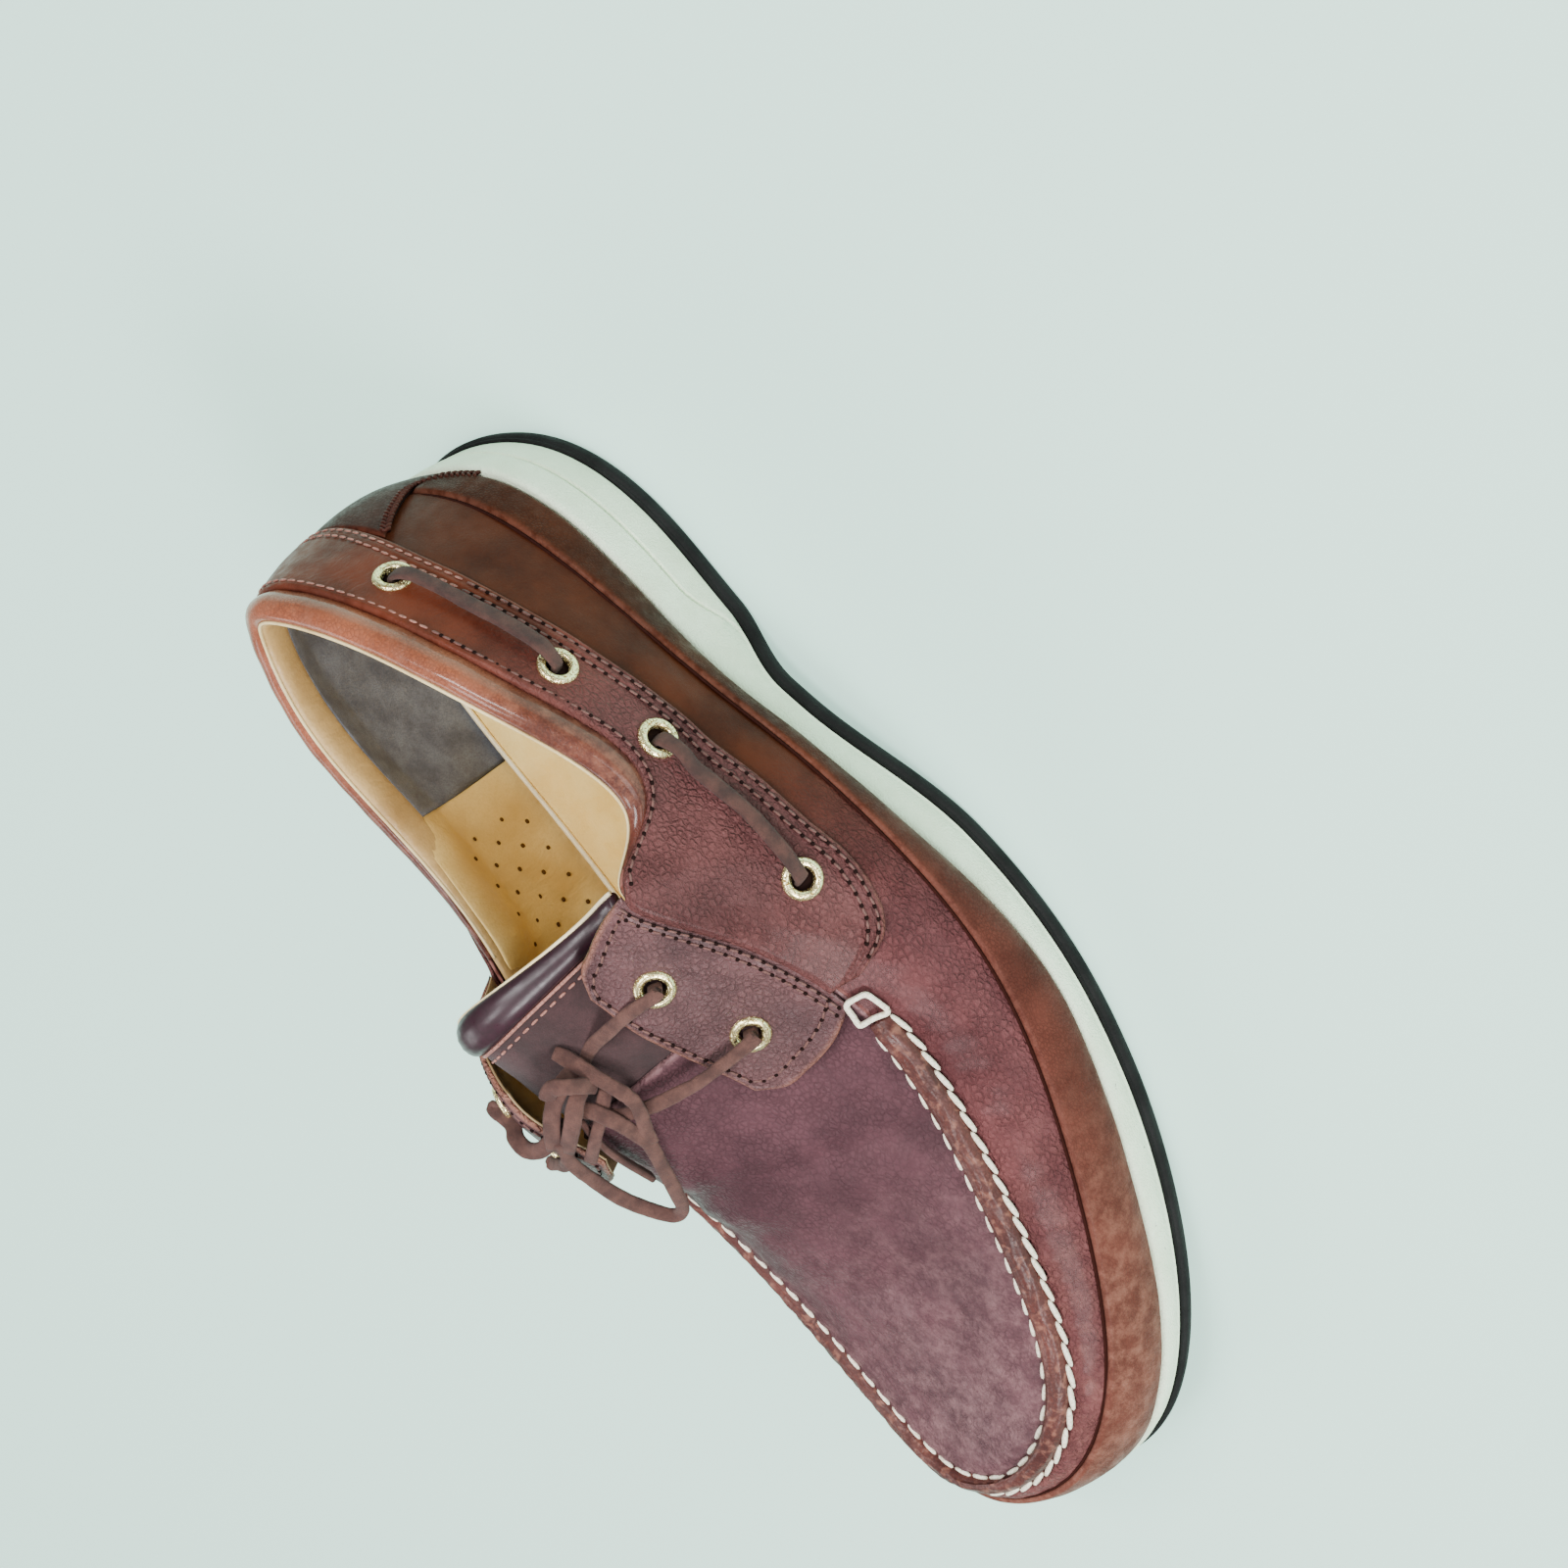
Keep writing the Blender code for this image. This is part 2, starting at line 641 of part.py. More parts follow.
def make_tongue(finish, collection):
    """The tongue, under the eyestays, with a padded roll along its top edge."""
    rows = open_spline(range(len(TONGUE)), TONGUE)

    def top_face(k, t):
        outer_s, inner_s, rise, lean, drop, _ = rows(k)
        return arched(station(outer_s)[3:6], station(2 * TOE - inner_s)[3:6], rise, lean, t) - UP * drop

    upper_side, under_side = [], []
    for k in np.linspace(0.0, len(TONGUE) - 1.0, 12):
        across = np.linspace(*TONGUE_EDGES, 8)
        thick = float(rows(k)[5])
        upper_side.append([top_face(k, t) for t in across])
        under_side.append([top_face(k, t) - UP * thick for t in across])
    return add_shell("tongue", upper_side, under_side, False, finish, collection)


# The moccasin seam's raised strip: place across the top line, and height over the leather
MOC_SECTION = ((-4.4, 0.5), (-2.6, 1.9), (-0.4, 2.3), (1.0, 1.6), (2.0, 0.5))
MOC_ENDS = (5.95, 14.45)


def make_moc_seam(finish, collection):
    outer, inner = [], []
    for u in np.linspace(*MOC_ENDS, 37):
        outer.append([skin_at(u, d, GAP + high) for d, high in MOC_SECTION])
        inner.append([skin_at(u, d, GAP) for d, _ in MOC_SECTION])
    return add_shell("moc_seam", outer, inner, False, finish, collection)


# Eyelets: a ring of flattened round wire. On the lace strip each row is (section, height up the
# leather). On the eyestays each row is (section, share of the flap's reach).
EYELET_HOLE = 2.3
EYELET_RING = 3.45
EYELET_WIRE = 1.15
EYELET_FLAT = 0.45
EYELET_CLEAR = 0.5  # more than GAP, because the leather under a ring is not quite flat
SIDE_EYELETS_OUTER = ((0.94, 42.0), (2.13, 40.7), (2.85, 39.0), (4.91, 38.0))
SIDE_EYELETS_INNER = ((-1.35, 42.0), (-2.40, 40.5), (-3.33, 39.0), (-4.70, 38.0))
FLAP_EYELETS = {"outer": ((4.85, 0.62), (5.48, 0.61)), "inner": ((4.85, 0.69), (5.27, 0.57))}


def side_eyelet_places(lift):
    places = []
    for u, height in SIDE_EYELETS_OUTER + SIDE_EYELETS_INNER:
        base = GAP + OVERLAY + lift
        places.append(frame_on(wall_at(u, height, base), wall_at(u, height, base + 1.0)))
    return places


def eyestay_eyelet_places(side, lift):
    return [
        frame_on(
            eyestay_point(side, s, share, EYESTAY_THICK + lift),
            eyestay_point(side, s, share, EYESTAY_THICK + lift + 1.0),
        )
        for s, share in FLAP_EYELETS[side]
    ]


def add_eyelet(name, matrix, finish, collection):
    bpy.ops.mesh.primitive_torus_add(
        major_segments=10, minor_segments=4, major_radius=EYELET_RING * MM, minor_radius=EYELET_WIRE * MM
    )
    ring = bpy.context.active_object
    ring.name = name
    ring.data.name = name
    ring.data.transform(Matrix.Diagonal((1.0, 1.0, EYELET_FLAT, 1.0)))
    ring.matrix_world = matrix
    ring.data.materials.append(finish)
    ring.data.shade_smooth()
    for owner in list(ring.users_collection):
        owner.objects.unlink(ring)
    collection.objects.link(ring)
    return ring


def make_eyelets(finish, collection):
    lift = EYELET_WIRE * EYELET_FLAT + EYELET_CLEAR
    sides = ["outer"] * len(SIDE_EYELETS_OUTER) + ["inner"] * len(SIDE_EYELETS_INNER)
    for k, matrix in enumerate(side_eyelet_places(lift)):
        add_eyelet(f"eyelet_side_{sides[k]}_{k % 4 + 1}", matrix, finish, collection)
    for side in ("outer", "inner"):
        for k, matrix in enumerate(eyestay_eyelet_places(side, lift)):
            add_eyelet(f"eyelet_flap_{side}_{k + 1}", matrix, finish, collection)


# The rawhide lace, as round cords. It shows on the strip between each pair of side eyelets, and
# comes up through the flap eyelets to the knot.
LACE_RADIUS = 1.3
HOLE_DEPTH = -0.8  # where a lace starts, under an eyelet's leather face
OVER_RING = 3.5  # height over the leather at which a lace clears an eyelet's ring
KNOT_CENTRE = (103.0, -10.5, 88.3)
KNOT_SIZE = (8.5, 4.2, 3.8)
KNOT_TURN = math.radians(-47)

# Points that each strand passes between its eyelet and the knot:  x, y, z
STRANDS = {
    ("outer", 0): ((96.0, 12.0, 86.0), (99.0, 3.0, 88.5), (101.5, -5.0, 88.8)),
    ("outer", 1): ((117.0, 10.0, 73.5), (115.5, 1.0, 79.5), (109.0, -7.0, 86.0), (105.0, -10.0, 88.0)),
    ("inner", 0): (
        (106.0, -33.0, 92.5), (111.0, -27.0, 93.5), (110.0, -19.5, 91.0), (106.0, -13.5, 89.0),
    ),
    ("inner", 1): (
        (118.0, -31.5, 86.0), (115.0, -23.5, 89.2), (109.0, -15.5, 89.2), (105.5, -12.0, 88.4),
    ),
}
LOOP = (
    (104.5, -5.5, 91.8), (108.0, -1.5, 90.0), (113.0, -0.5, 85.5), (121.0, -4.5, 81.0),
    (129.0, -9.5, 77.0), (137.0, -16.0, 73.0), (142.0, -22.5, 69.5), (141.5, -27.0, 68.5),
    (137.0, -29.0, 71.5), (131.0, -28.0, 77.5), (124.0, -25.5, 84.5), (117.0, -21.0, 90.5),
    (110.0, -15.0, 92.6),
)
LACE_END = (
    (109.5, -11.3, 87.0), (114.5, -13.5, 84.8), (119.5, -16.5, 81.2), (124.5, -19.5, 76.5),
    (131.4, -23.8, 69.4),
)


def add_cord(name, route, per_span, finish, collection):
    """A round cord along a smooth curve through a route of points."""
    smooth = open_spline(range(len(route)), route)
    spans = len(route) - 1
    samples = [smooth(k * spans / (spans * per_span)) for k in range(spans * per_span + 1)]
    curve = bpy.data.curves.new(name, "CURVE")
    curve.dimensions = "3D"
    curve.bevel_depth = LACE_RADIUS * MM
    curve.bevel_resolution = 2
    curve.use_fill_caps = True
    line = curve.splines.new("POLY")
    line.points.add(len(samples) - 1)
    for target, p in zip(line.points, samples):
        target.co = (p[0] * MM, p[1] * MM, p[2] * MM, 1.0)
    curve.materials.append(finish)
    made = bpy.data.objects.new(name, curve)
    collection.objects.link(made)
    return made


def cord_to_mesh(cord):
    """The cord as a closed mesh object of the same name, so that it can be joined."""
    evaluated = cord.evaluated_get(bpy.context.evaluated_depsgraph_get())
    mesh = bpy.data.meshes.new_from_object(evaluated)
    welded = bmesh.new()
    welded.from_mesh(mesh)
    bmesh.ops.remove_doubles(welded, verts=welded.verts, dist=0.01 * MM)
    welded.to_mesh(mesh)
    welded.free()
    made = bpy.data.objects.new(cord.name + "_mesh", mesh)
    made.matrix_world = cord.matrix_world
    cord.users_collection[0].objects.link(made)
    bpy.data.objects.remove(cord)
    return made


def make_side_laces(finish, collection):
    """The lace where it shows between two side eyelets, in at one hole and out at the other."""
    for side, places in (("outer", SIDE_EYELETS_OUTER), ("inner", SIDE_EYELETS_INNER)):
        for pair in (0, 1):
            (u1, h1), (u2, h2) = places[2 * pair], places[2 * pair + 1]
            face = STRIP_GAP + OVERLAY
            rise = [(0.0, HOLE_DEPTH), (0.0, 1.6), (0.1, OVER_RING + 1.2)]
            rows = rise + [(0.5, OVER_RING)] + [(1.0 - k, lift) for k, lift in reversed(rise)]
            route = [wall_at(u1 + (u2 - u1) * k, h1 + (h2 - h1) * k, face + lift) for k, lift in rows]
            add_cord(f"lace_side_{side}_{pair + 1}", route, 1, finish, collection)


def make_bow(finish, collection, cutters):
    """The knot with its four strands as one solid, and the loop and end that come out of it."""
    bpy.ops.mesh.primitive_uv_sphere_add(segments=10, ring_count=6, radius=MM)
    knot = bpy.context.active_object
    knot.name = "lace_knot"
    knot.data.name = "lace_knot"
    knot.data.transform(Matrix.Diagonal((*KNOT_SIZE, 1.0)))
    knot.matrix_world = Matrix.Translation(Vector(KNOT_CENTRE) * MM) @ Matrix.Rotation(KNOT_TURN, 4, "Z")
    knot.data.materials.append(finish)
    knot.data.shade_smooth()
    for owner in list(knot.users_collection):
        owner.objects.unlink(knot)
    collection.objects.link(knot)
    for (side, k), rest in STRANDS.items():
        s, share = FLAP_EYELETS[side][k]
        lifts = (HOLE_DEPTH, 1.6, OVER_RING + 1.4)
        start = [eyestay_point(side, s, share, EYESTAY_THICK + lift) for lift in lifts]
        strand = cord_to_mesh(add_cord(f"strand_{side}_{k + 1}", start + list(rest), 1, finish, cutters))
        strand.hide_render = True
        strand.display_type = "WIRE"
        join = knot.modifiers.new("strand", "BOOLEAN")
        join.operation = "UNION"
        join.solver = "EXACT"
        join.object = strand
    add_cord("lace_loop", LOOP, 2, finish, collection)
    add_cord("lace_end", LACE_END, 2, finish, collection)


def build():
    clear_scene()
    shoe = new_collection("boat_shoe")
    cutters = new_collection("cutters")
    leather = material("brown_leather", (0.16, 0.05, 0.04), 0.45)
    band = material("band_leather", (0.20, 0.07, 0.04), 0.4)
    padded = material("collar_leather", (0.25, 0.10, 0.06), 0.45)
    lining = material("tan_lining", (0.55, 0.38, 0.18), 0.5)
    pale = material("pale_rubber", (0.72, 0.78, 0.68), 0.6)
    dark = material("dark_rubber", (0.09, 0.10, 0.11), 0.7)
    rawhide = material("rawhide", (0.22, 0.11, 0.09), 0.9)
    brass = material("pale_brass", (0.80, 0.70, 0.42), 0.3, 1.0)
    make_outsole(dark, shoe)
    make_midsole(pale, shoe)
    make_insole(lining, shoe)
    make_upper(leather, shoe)
    make_band(band, shoe)
    make_strip(leather, shoe, cutters)
    make_heel_patch(band, shoe)
    make_collar(padded, shoe)
    for side in ("outer", "inner"):
        make_eyestay(side, leather, shoe, cutters)
    make_tongue(leather, shoe)
    make_moc_seam(leather, shoe)
    make_eyelets(brass, shoe)
    make_side_laces(rawhide, shoe)
    make_bow(rawhide, shoe, cutters)


build()
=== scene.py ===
"""The boat shoe's looks: leather, linings, stitches, rawhide lace, rubber, light and camera.

Sizes are in millimetres and turn into metres only where a mesh is made. The upper is one surface,
worked out from cross sections round the shoe. Leather pieces, seams and stitches are laid on it.
"""

import math

import bpy
import bmesh
import numpy as np
from mathutils import Matrix, Vector


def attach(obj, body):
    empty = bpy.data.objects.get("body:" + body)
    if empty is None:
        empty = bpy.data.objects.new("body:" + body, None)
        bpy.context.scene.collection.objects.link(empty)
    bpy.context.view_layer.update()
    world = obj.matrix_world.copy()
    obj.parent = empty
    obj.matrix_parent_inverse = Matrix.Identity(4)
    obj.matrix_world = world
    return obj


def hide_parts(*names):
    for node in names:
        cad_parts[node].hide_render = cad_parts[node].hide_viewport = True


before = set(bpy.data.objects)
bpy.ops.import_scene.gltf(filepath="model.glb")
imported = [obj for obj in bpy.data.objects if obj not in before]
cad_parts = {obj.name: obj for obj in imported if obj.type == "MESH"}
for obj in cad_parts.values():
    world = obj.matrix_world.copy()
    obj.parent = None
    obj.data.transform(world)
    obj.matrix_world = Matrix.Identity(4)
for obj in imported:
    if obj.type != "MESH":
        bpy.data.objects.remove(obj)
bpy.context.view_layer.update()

MM = 0.001
RNG = np.random.default_rng(7)

# ---------------------------------------------------------------- the shoe's own sizes

COLLAR_HEIGHT = 12.0
COLLAR_ENDS = (-3.92, 3.68)  # in sections, as the table below counts them
UPPER_THICK = 1.2
OUTSOLE_THICK = 4.4
INSOLE_THICK = 4.0
ARCH_RISE = 5.9
TOE_SPRING = 18.0
HEEL_END_X = 36.0
ARCH_TOP_X = (58.0, 65.0)
FOREFOOT_START_X = 110.0
FOREFOOT_END_X = 172.0
TOE_END_X = 262.0
BAND_TOP_HEEL = 11.0
BAND_TOP_TOE = 18.5
BAND_LOW_X = -40.0
BAND_RUN = 280.0

# Cross sections of the upper, from the heel's back by the outer side to the toe and back
#                 feather              top line             lower handle  upper handle
#                 x      y      z      x      y      z      out    up     out    down
STATIONS = (
    ("heel_back", -30.5, -5.5, 21.5, -22.5, -4.5, 82.5, 3.5, 20.0, 5.5, 15.5),
    ("heel_out", -18.0, 20.0, 23.0, -5.5, 15.5, 82.5, 0.5, 18.5, 3.0, 16.5),
    ("seat_out", 8.5, 33.5, 23.5, 25.0, 35.0, 79.0, 4.5, 15.0, 4.0, 17.0),
    ("quarter_out", 41.0, 37.5, 21.5, 58.5, 41.5, 69.5, 13.5, 13.5, 7.0, 17.5),
    ("waist_out", 71.0, 46.0, 19.0, 73.0, 35.5, 79.5, 19.0, 12.5, 11.0, 17.0),
    ("throat_out", 104.5, 56.0, 16.5, 95.5, 40.0, 64.0, 16.0, 13.5, 11.5, 12.0),
    ("ball_out", 143.0, 59.5, 12.0, 131.0, 42.0, 46.5, 9.5, 12.0, 10.5, 5.5),
    ("vamp_out", 183.5, 50.5, 14.0, 173.5, 34.5, 42.0, 6.5, 12.0, 10.5, 2.0),
    ("toe_out", 221.5, 34.5, 18.0, 212.5, 22.0, 41.5, 4.0, 12.0, 9.5, 0.0),
    ("corner_out", 244.5, 15.0, 22.5, 231.5, 7.5, 44.5, 2.0, 10.5, 8.0, -2.0),
    ("toe_tip", 250.0, -7.0, 22.5, 237.5, -11.5, 44.0, 1.5, 11.0, 9.0, -1.5),
    ("corner_in", 243.0, -28.5, 20.0, 232.5, -28.5, 42.0, 3.5, 11.5, 8.5, 1.0),
    ("toe_in", 220.5, -43.0, 15.0, 215.0, -39.0, 38.0, 6.0, 12.0, 7.5, 5.0),
    ("vamp_in", 185.0, -47.5, 11.5, 183.0, -43.5, 38.0, 8.5, 12.5, 8.5, 7.5),
    ("ball_in", 148.0, -44.5, 12.0, 143.5, -45.0, 45.0, 10.5, 14.5, 7.5, 10.0),
    ("throat_in", 108.0, -36.0, 15.0, 105.0, -42.5, 59.0, 9.0, 17.5, 7.0, 13.5),
    ("waist_in", 72.0, -31.5, 18.0, 72.0, -29.5, 67.5, 7.5, 18.0, 4.5, 16.5),
    ("quarter_in", 39.5, -33.0, 19.0, 40.0, -29.5, 68.5, 6.5, 18.0, 4.5, 16.0),
    ("seat_in", 4.5, -34.5, 20.0, 5.5, -29.0, 73.5, 5.5, 18.5, 5.5, 15.5),
    ("heel_in", -24.0, -27.5, 20.5, -18.5, -20.0, 77.0, 6.0, 20.5, 7.0, 15.5),
)
ROUND = float(len(STATIONS))
TOE = 10.0

# The instep and plug: section, how high the span rises, how far its ridge leans to the inner side
INSTEP = (
    (4.0, 18.0, 0.8),
    (4.5, 19.0, 0.8),
    (5.0, 23.0, 0.8),
    (5.5, 19.0, 1.0),
    (6.0, 13.5, 1.0),
    (6.5, 10.0, 0.8),
    (7.0, 6.0, 0.6),
    (8.0, 4.0, 0.3),
    (9.0, 2.5, 0.0),
    (10.0, 0.0, 0.0),
)

# ---------------------------------------------------------------- curves through the tables


def spread(*values):
    """Numbers or arrays as float arrays of one shape."""
    return np.broadcast_arrays(*[np.asarray(value, float) for value in values])


def hermite(t, start, start_slope, end, end_slope):
    """The cubic from start to end with the given slopes, at share t."""
    return (
        (2 * t**3 - 3 * t**2 + 1) * start
        + (t**3 - 2 * t**2 + t) * start_slope
        + (3 * t**2 - 2 * t**3) * end
        + (t**3 - t**2) * end_slope
    )


def closed_spline(rows):
    """A smooth closed curve through rows one unit apart, for an array of places."""
    table = np.array(rows, float)
    count = len(table)
    links = 4.0 * np.eye(count) + np.roll(np.eye(count), 1, 0) + np.roll(np.eye(count), -1, 0)
    slopes = np.linalg.solve(links, 3.0 * (np.roll(table, -1, 0) - np.roll(table, 1, 0)))

    def value(u):
        u = np.asarray(u, float)
        low = np.floor(u).astype(int)
        a, b = low % count, (low + 1) % count
        return hermite((u - low)[..., None], table[a], slopes[a], table[b], slopes[b])

    return value


def open_spline(keys, rows):
    """A smooth open curve through rows at the given keys, held flat past its ends."""
    keys = np.array(keys, float)
    table = np.array(rows, float)
    if table.ndim == 1:
        table = table[:, None]
    slopes = np.gradient(table, keys, axis=0)

    def value(u):
        u = np.clip(np.asarray(u, float), keys[0], keys[-1])
        a = np.clip(np.searchsorted(keys, u, side="right") - 1, 0, len(keys) - 2)
        span = (keys[a + 1] - keys[a])[..., None]
        t = (u - keys[a])[..., None] / span
        return hermite(t, table[a], slopes[a] * span, table[a + 1], slopes[a + 1] * span)

    return value


def keyed_spline(rows):
    """An open curve through rows that start with their key."""
    return open_spline([row[0] for row in rows], [row[1:] for row in rows])


def smooth_step(x, start, end):
    t = np.clip((np.asarray(x, float) - start) / (end - start), 0.0, 1.0)
    return t * t * (3.0 - 2.0 * t)


station = closed_spline([row[1:] for row in STATIONS])
instep_row = keyed_spline(INSTEP)
UP = np.array([0.0, 0.0, 1.0])
STEPS = np.linspace(0.0, 1.0, 33)


def unit(v):
    return v / np.maximum(np.linalg.norm(v, axis=-1, keepdims=True), 1e-9)


def squared(directions, along):
    """Directions turned square to the others, row by row."""
    return unit(directions - along * np.sum(directions * along, 1, keepdims=True))


def interpolated(at, keys, rows):
    return np.stack([np.interp(at, keys, column) for column in rows.T], 1)


def along_lengths(line):
    """Lengths up to each point of lines of points, shape (..., points, 3)."""
    legs = np.linalg.norm(np.diff(line, axis=-2), axis=-1)
    start = np.zeros(legs.shape[:-1] + (1,))
    return np.concatenate([start, np.cumsum(legs, axis=-1)], axis=-1)


def step_at(lengths, target):
    """The share of the way along each line at which it is target long."""
    target = np.asarray(target, float)
    index = np.clip((lengths < target[..., None]).sum(-1) - 1, 0, len(STEPS) - 2)
    low = np.take_along_axis(lengths, index[..., None], -1)[..., 0]
    high = np.take_along_axis(lengths, index[..., None] + 1, -1)[..., 0]
    return (index + (target - low) / np.maximum(high - low, 1e-9)) * (STEPS[1] - STEPS[0])


# ---------------------------------------------------------------- the surface of the upper

SPAN_START = 3.6  # the section where the instep's surface begins
NEAR_U = 0.02  # how far apart two places lie for a slope, in sections and in millimetres
NEAR_MM = 0.6


def outward(u):
    step = station(u + 0.01) - station(u - 0.01)
    return unit(np.stack([-step[..., 1], step[..., 0], np.zeros_like(step[..., 0])], -1))


def wall_handles(u):
    row, out = station(u), outward(u)
    feather, top = row[..., 0:3], row[..., 3:6]
    lower = feather + out * row[..., 6:7] + UP * row[..., 7:8]
    upper = top + out * row[..., 8:9] - UP * row[..., 9:10]
    return feather, lower, upper, top


def bezier(points, t):
    a, b, c, d = points
    t = t[..., None]
    return (1 - t) ** 3 * a + 3 * (1 - t) ** 2 * t * b + 3 * (1 - t) * t**2 * c + t**3 * d


def wall_lengths(u):
    handles = [p[..., None, :] for p in wall_handles(u)]
    return along_lengths(bezier(handles, STEPS))


def wall_length(u):
    return wall_lengths(np.asarray(u, float))[..., -1]


def wall_point(u, height):
    """The point of the wall that lies height up the leather from the feather line."""
    u, height = spread(u, height)
    return bezier(wall_handles(u), step_at(wall_lengths(u), height))


def arched(outer, inner, rise, lean, t):
    """A point at share t of an arch between two points; a lean moves its ridge to the inner one."""
    t = t[..., None]
    w = 1.0 - 2.0 * t
    return outer + (inner - outer) * t + UP * rise * (1.0 - w * w) * (1.0 - lean * w)


def span_point(s, t):
    """The point of the instep or plug at share t from the outer top line to the inner one."""
    s, t = spread(s, t)
    row = instep_row(s)
    outer, inner = station(s)[..., 3:6], station(2 * TOE - s)[..., 3:6]
    return arched(outer, inner, row[..., 0:1], row[..., 1:2], t)


def span_lengths(s):
    s = np.asarray(s, float)
    return along_lengths(span_point(s[..., None], np.broadcast_to(STEPS, s.shape + STEPS.shape)))


def skin_point(u, d):
    """A point of the upper: d runs from the top line over the instep, or down the wall if negative."""
    u, d = spread(u, d)
    wall = wall_point(u, wall_length(u) + np.minimum(d, 0.0))
    outer_side = u <= TOE
    s = np.clip(np.where(outer_side, u, 2 * TOE - u), SPAN_START, TOE)
    lengths = span_lengths(s)
    reach = np.where(outer_side, d, lengths[..., -1] - d)
    over = span_point(s, step_at(lengths, np.clip(reach, 0.0, lengths[..., -1])))
    return np.where((d > 0.0)[..., None], over, wall)


def lifted(point, a, b, lift, da, db):
    """point(a, b) moved off its surface by lift, outward if positive."""
    a, b = spread(a, b)
    along = point(a + da, b) - point(a - da, b)
    upward = point(a, b + db) - point(a, b - db)
    normal = unit(np.cross(upward, along))
    lift = np.asarray(lift, float)
    return point(a, b) + normal * (lift[..., None] if lift.ndim else lift)


def wall_at(u, height, lift=0.0):
    return lifted(wall_point, u, height, lift, NEAR_U, NEAR_MM)


def skin_at(u, d, lift=0.0):
    return lifted(skin_point, u, d, lift, NEAR_U, NEAR_MM)


def span_at(s, t, lift=0.0):
    return lifted(span_point, s, t, lift, NEAR_U, 0.02)


def ground(x):
    """Height of the sole's underside at x."""
    arch = ARCH_RISE * smooth_step(x, HEEL_END_X, ARCH_TOP_X[0])
    arch = arch * (1.0 - smooth_step(x, ARCH_TOP_X[1], FOREFOOT_START_X))
    toe = np.maximum(np.asarray(x) - FOREFOOT_END_X, 0.0) / (TOE_END_X - FOREFOOT_END_X)
    return arch + TOE_SPRING * toe**2


def band_top(u):
    """How far up the wall the mudguard band reaches."""
    share = np.clip((station(u)[..., 0] - BAND_LOW_X) / BAND_RUN, 0.0, 1.0)
    return BAND_TOP_HEEL + (BAND_TOP_TOE - BAND_TOP_HEEL) * share


def past_collar(u, start, end):
    """0 along the collar, rising to 1 from start to end, in sections past its two ends."""
    u = np.mod(np.asarray(u, float) + ROUND / 2, ROUND) - ROUND / 2
    return smooth_step(np.where(u > 0.0, u - COLLAR_ENDS[1], COLLAR_ENDS[0] - u), start, end)


def collar_cut(u):
    """How far below the top line the wall ends, to make room for the padded collar."""
    return (COLLAR_HEIGHT - 1.5) * (1.0 - past_collar(u, -0.9, 0.05))


# ---------------------------------------------------------------- meshes

NEEDLE_HOLE = (1.0, 1.0, 0.8)  # length, width and height of the dark beads between stitches, painted shade in the needle holes
WELD = 0.005  # points nearer than this are one
WORN_REACH = 1.3  # how far from a leather's border its colour is rubbed


def linked(name, data):
    """A new object of the scene that shows the data."""
    made = bpy.data.objects.new(name, data)
    bpy.context.scene.collection.objects.link(made)
    return made


def add_object(name, points, faces, finish, replaced=()):
    """A piece of the shoe from points in millimetres, riding on it, in place of CAD nodes."""
    mesh = bpy.data.meshes.new(name)
    mesh.from_pydata((np.asarray(points, float) * MM).tolist(), [], faces)
    mesh.validate()
    mesh.shade_smooth()
    mesh.materials.append(finish)
    made = linked(name, mesh)
    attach(made, "root")
    if replaced:
        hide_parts(*replaced)
    return made


def tidy_mesh(obj):
    """Welds double points and turns all faces outward."""
    shaped = bmesh.new()
    shaped.from_mesh(obj.data)
    bmesh.ops.remove_doubles(shaped, verts=shaped.verts, dist=WELD * MM)
    bmesh.ops.recalc_face_normals(shaped, faces=shaped.faces)
    if shaped.calc_volume(signed=True) < 0.0:
        bmesh.ops.reverse_faces(shaped, faces=shaped.faces)
    shaped.to_mesh(obj.data)
    shaped.free()
    obj.data.shade_smooth()
    return obj


def grid_faces(rows, columns, start=0, closed_rows=False, closed_columns=False):
    faces = []
    for r in range(rows if closed_rows else rows - 1):
        low, high = start + r * columns, start + (r + 1) % rows * columns
        for c in range(columns if closed_columns else columns - 1):
            ahead = (c + 1) % columns
            faces.append((low + c, low + ahead, high + ahead, high + c))
    return faces


def add_sweep(name, parts, finish, replaced=()):
    """One piece of capped tubes, each through rings of points, shape (rings, around, 3)."""
    points, faces, start = [], [], 0
    for rings in parts:
        rows, around = rings.shape[:2]
        last = start + (rows - 1) * around
        faces += grid_faces(rows, around, start, False, True)
        faces += [tuple(range(start, start + around)), tuple(range(last, last + around))]
        points.append(rings.reshape(-1, 3))
        start = last + around
    return tidy_mesh(add_object(name, np.concatenate(points), faces, finish, replaced))


def graded(count, edge):
    """Shares from 0 to 1, crowded within edge of both ends so that a rounded rim is smooth."""
    near = np.array([0.0, 0.08, 0.25, 0.5, 0.75, 1.0]) * edge
    middle = np.linspace(edge, 1.0 - edge, count)[1:-1]
    return np.concatenate([near, middle, 1.0 - near[::-1]])


def border_distance(grid, closed=False):
    """How far each point of a grid lies from the grid's border, in millimetres."""
    across = along_lengths(grid)
    down = along_lengths(grid.swapaxes(0, 1)).T
    sides = np.minimum(across, across[:, -1:] - across)
    return sides if closed else np.minimum(sides, np.minimum(down, down[-1:] - down))


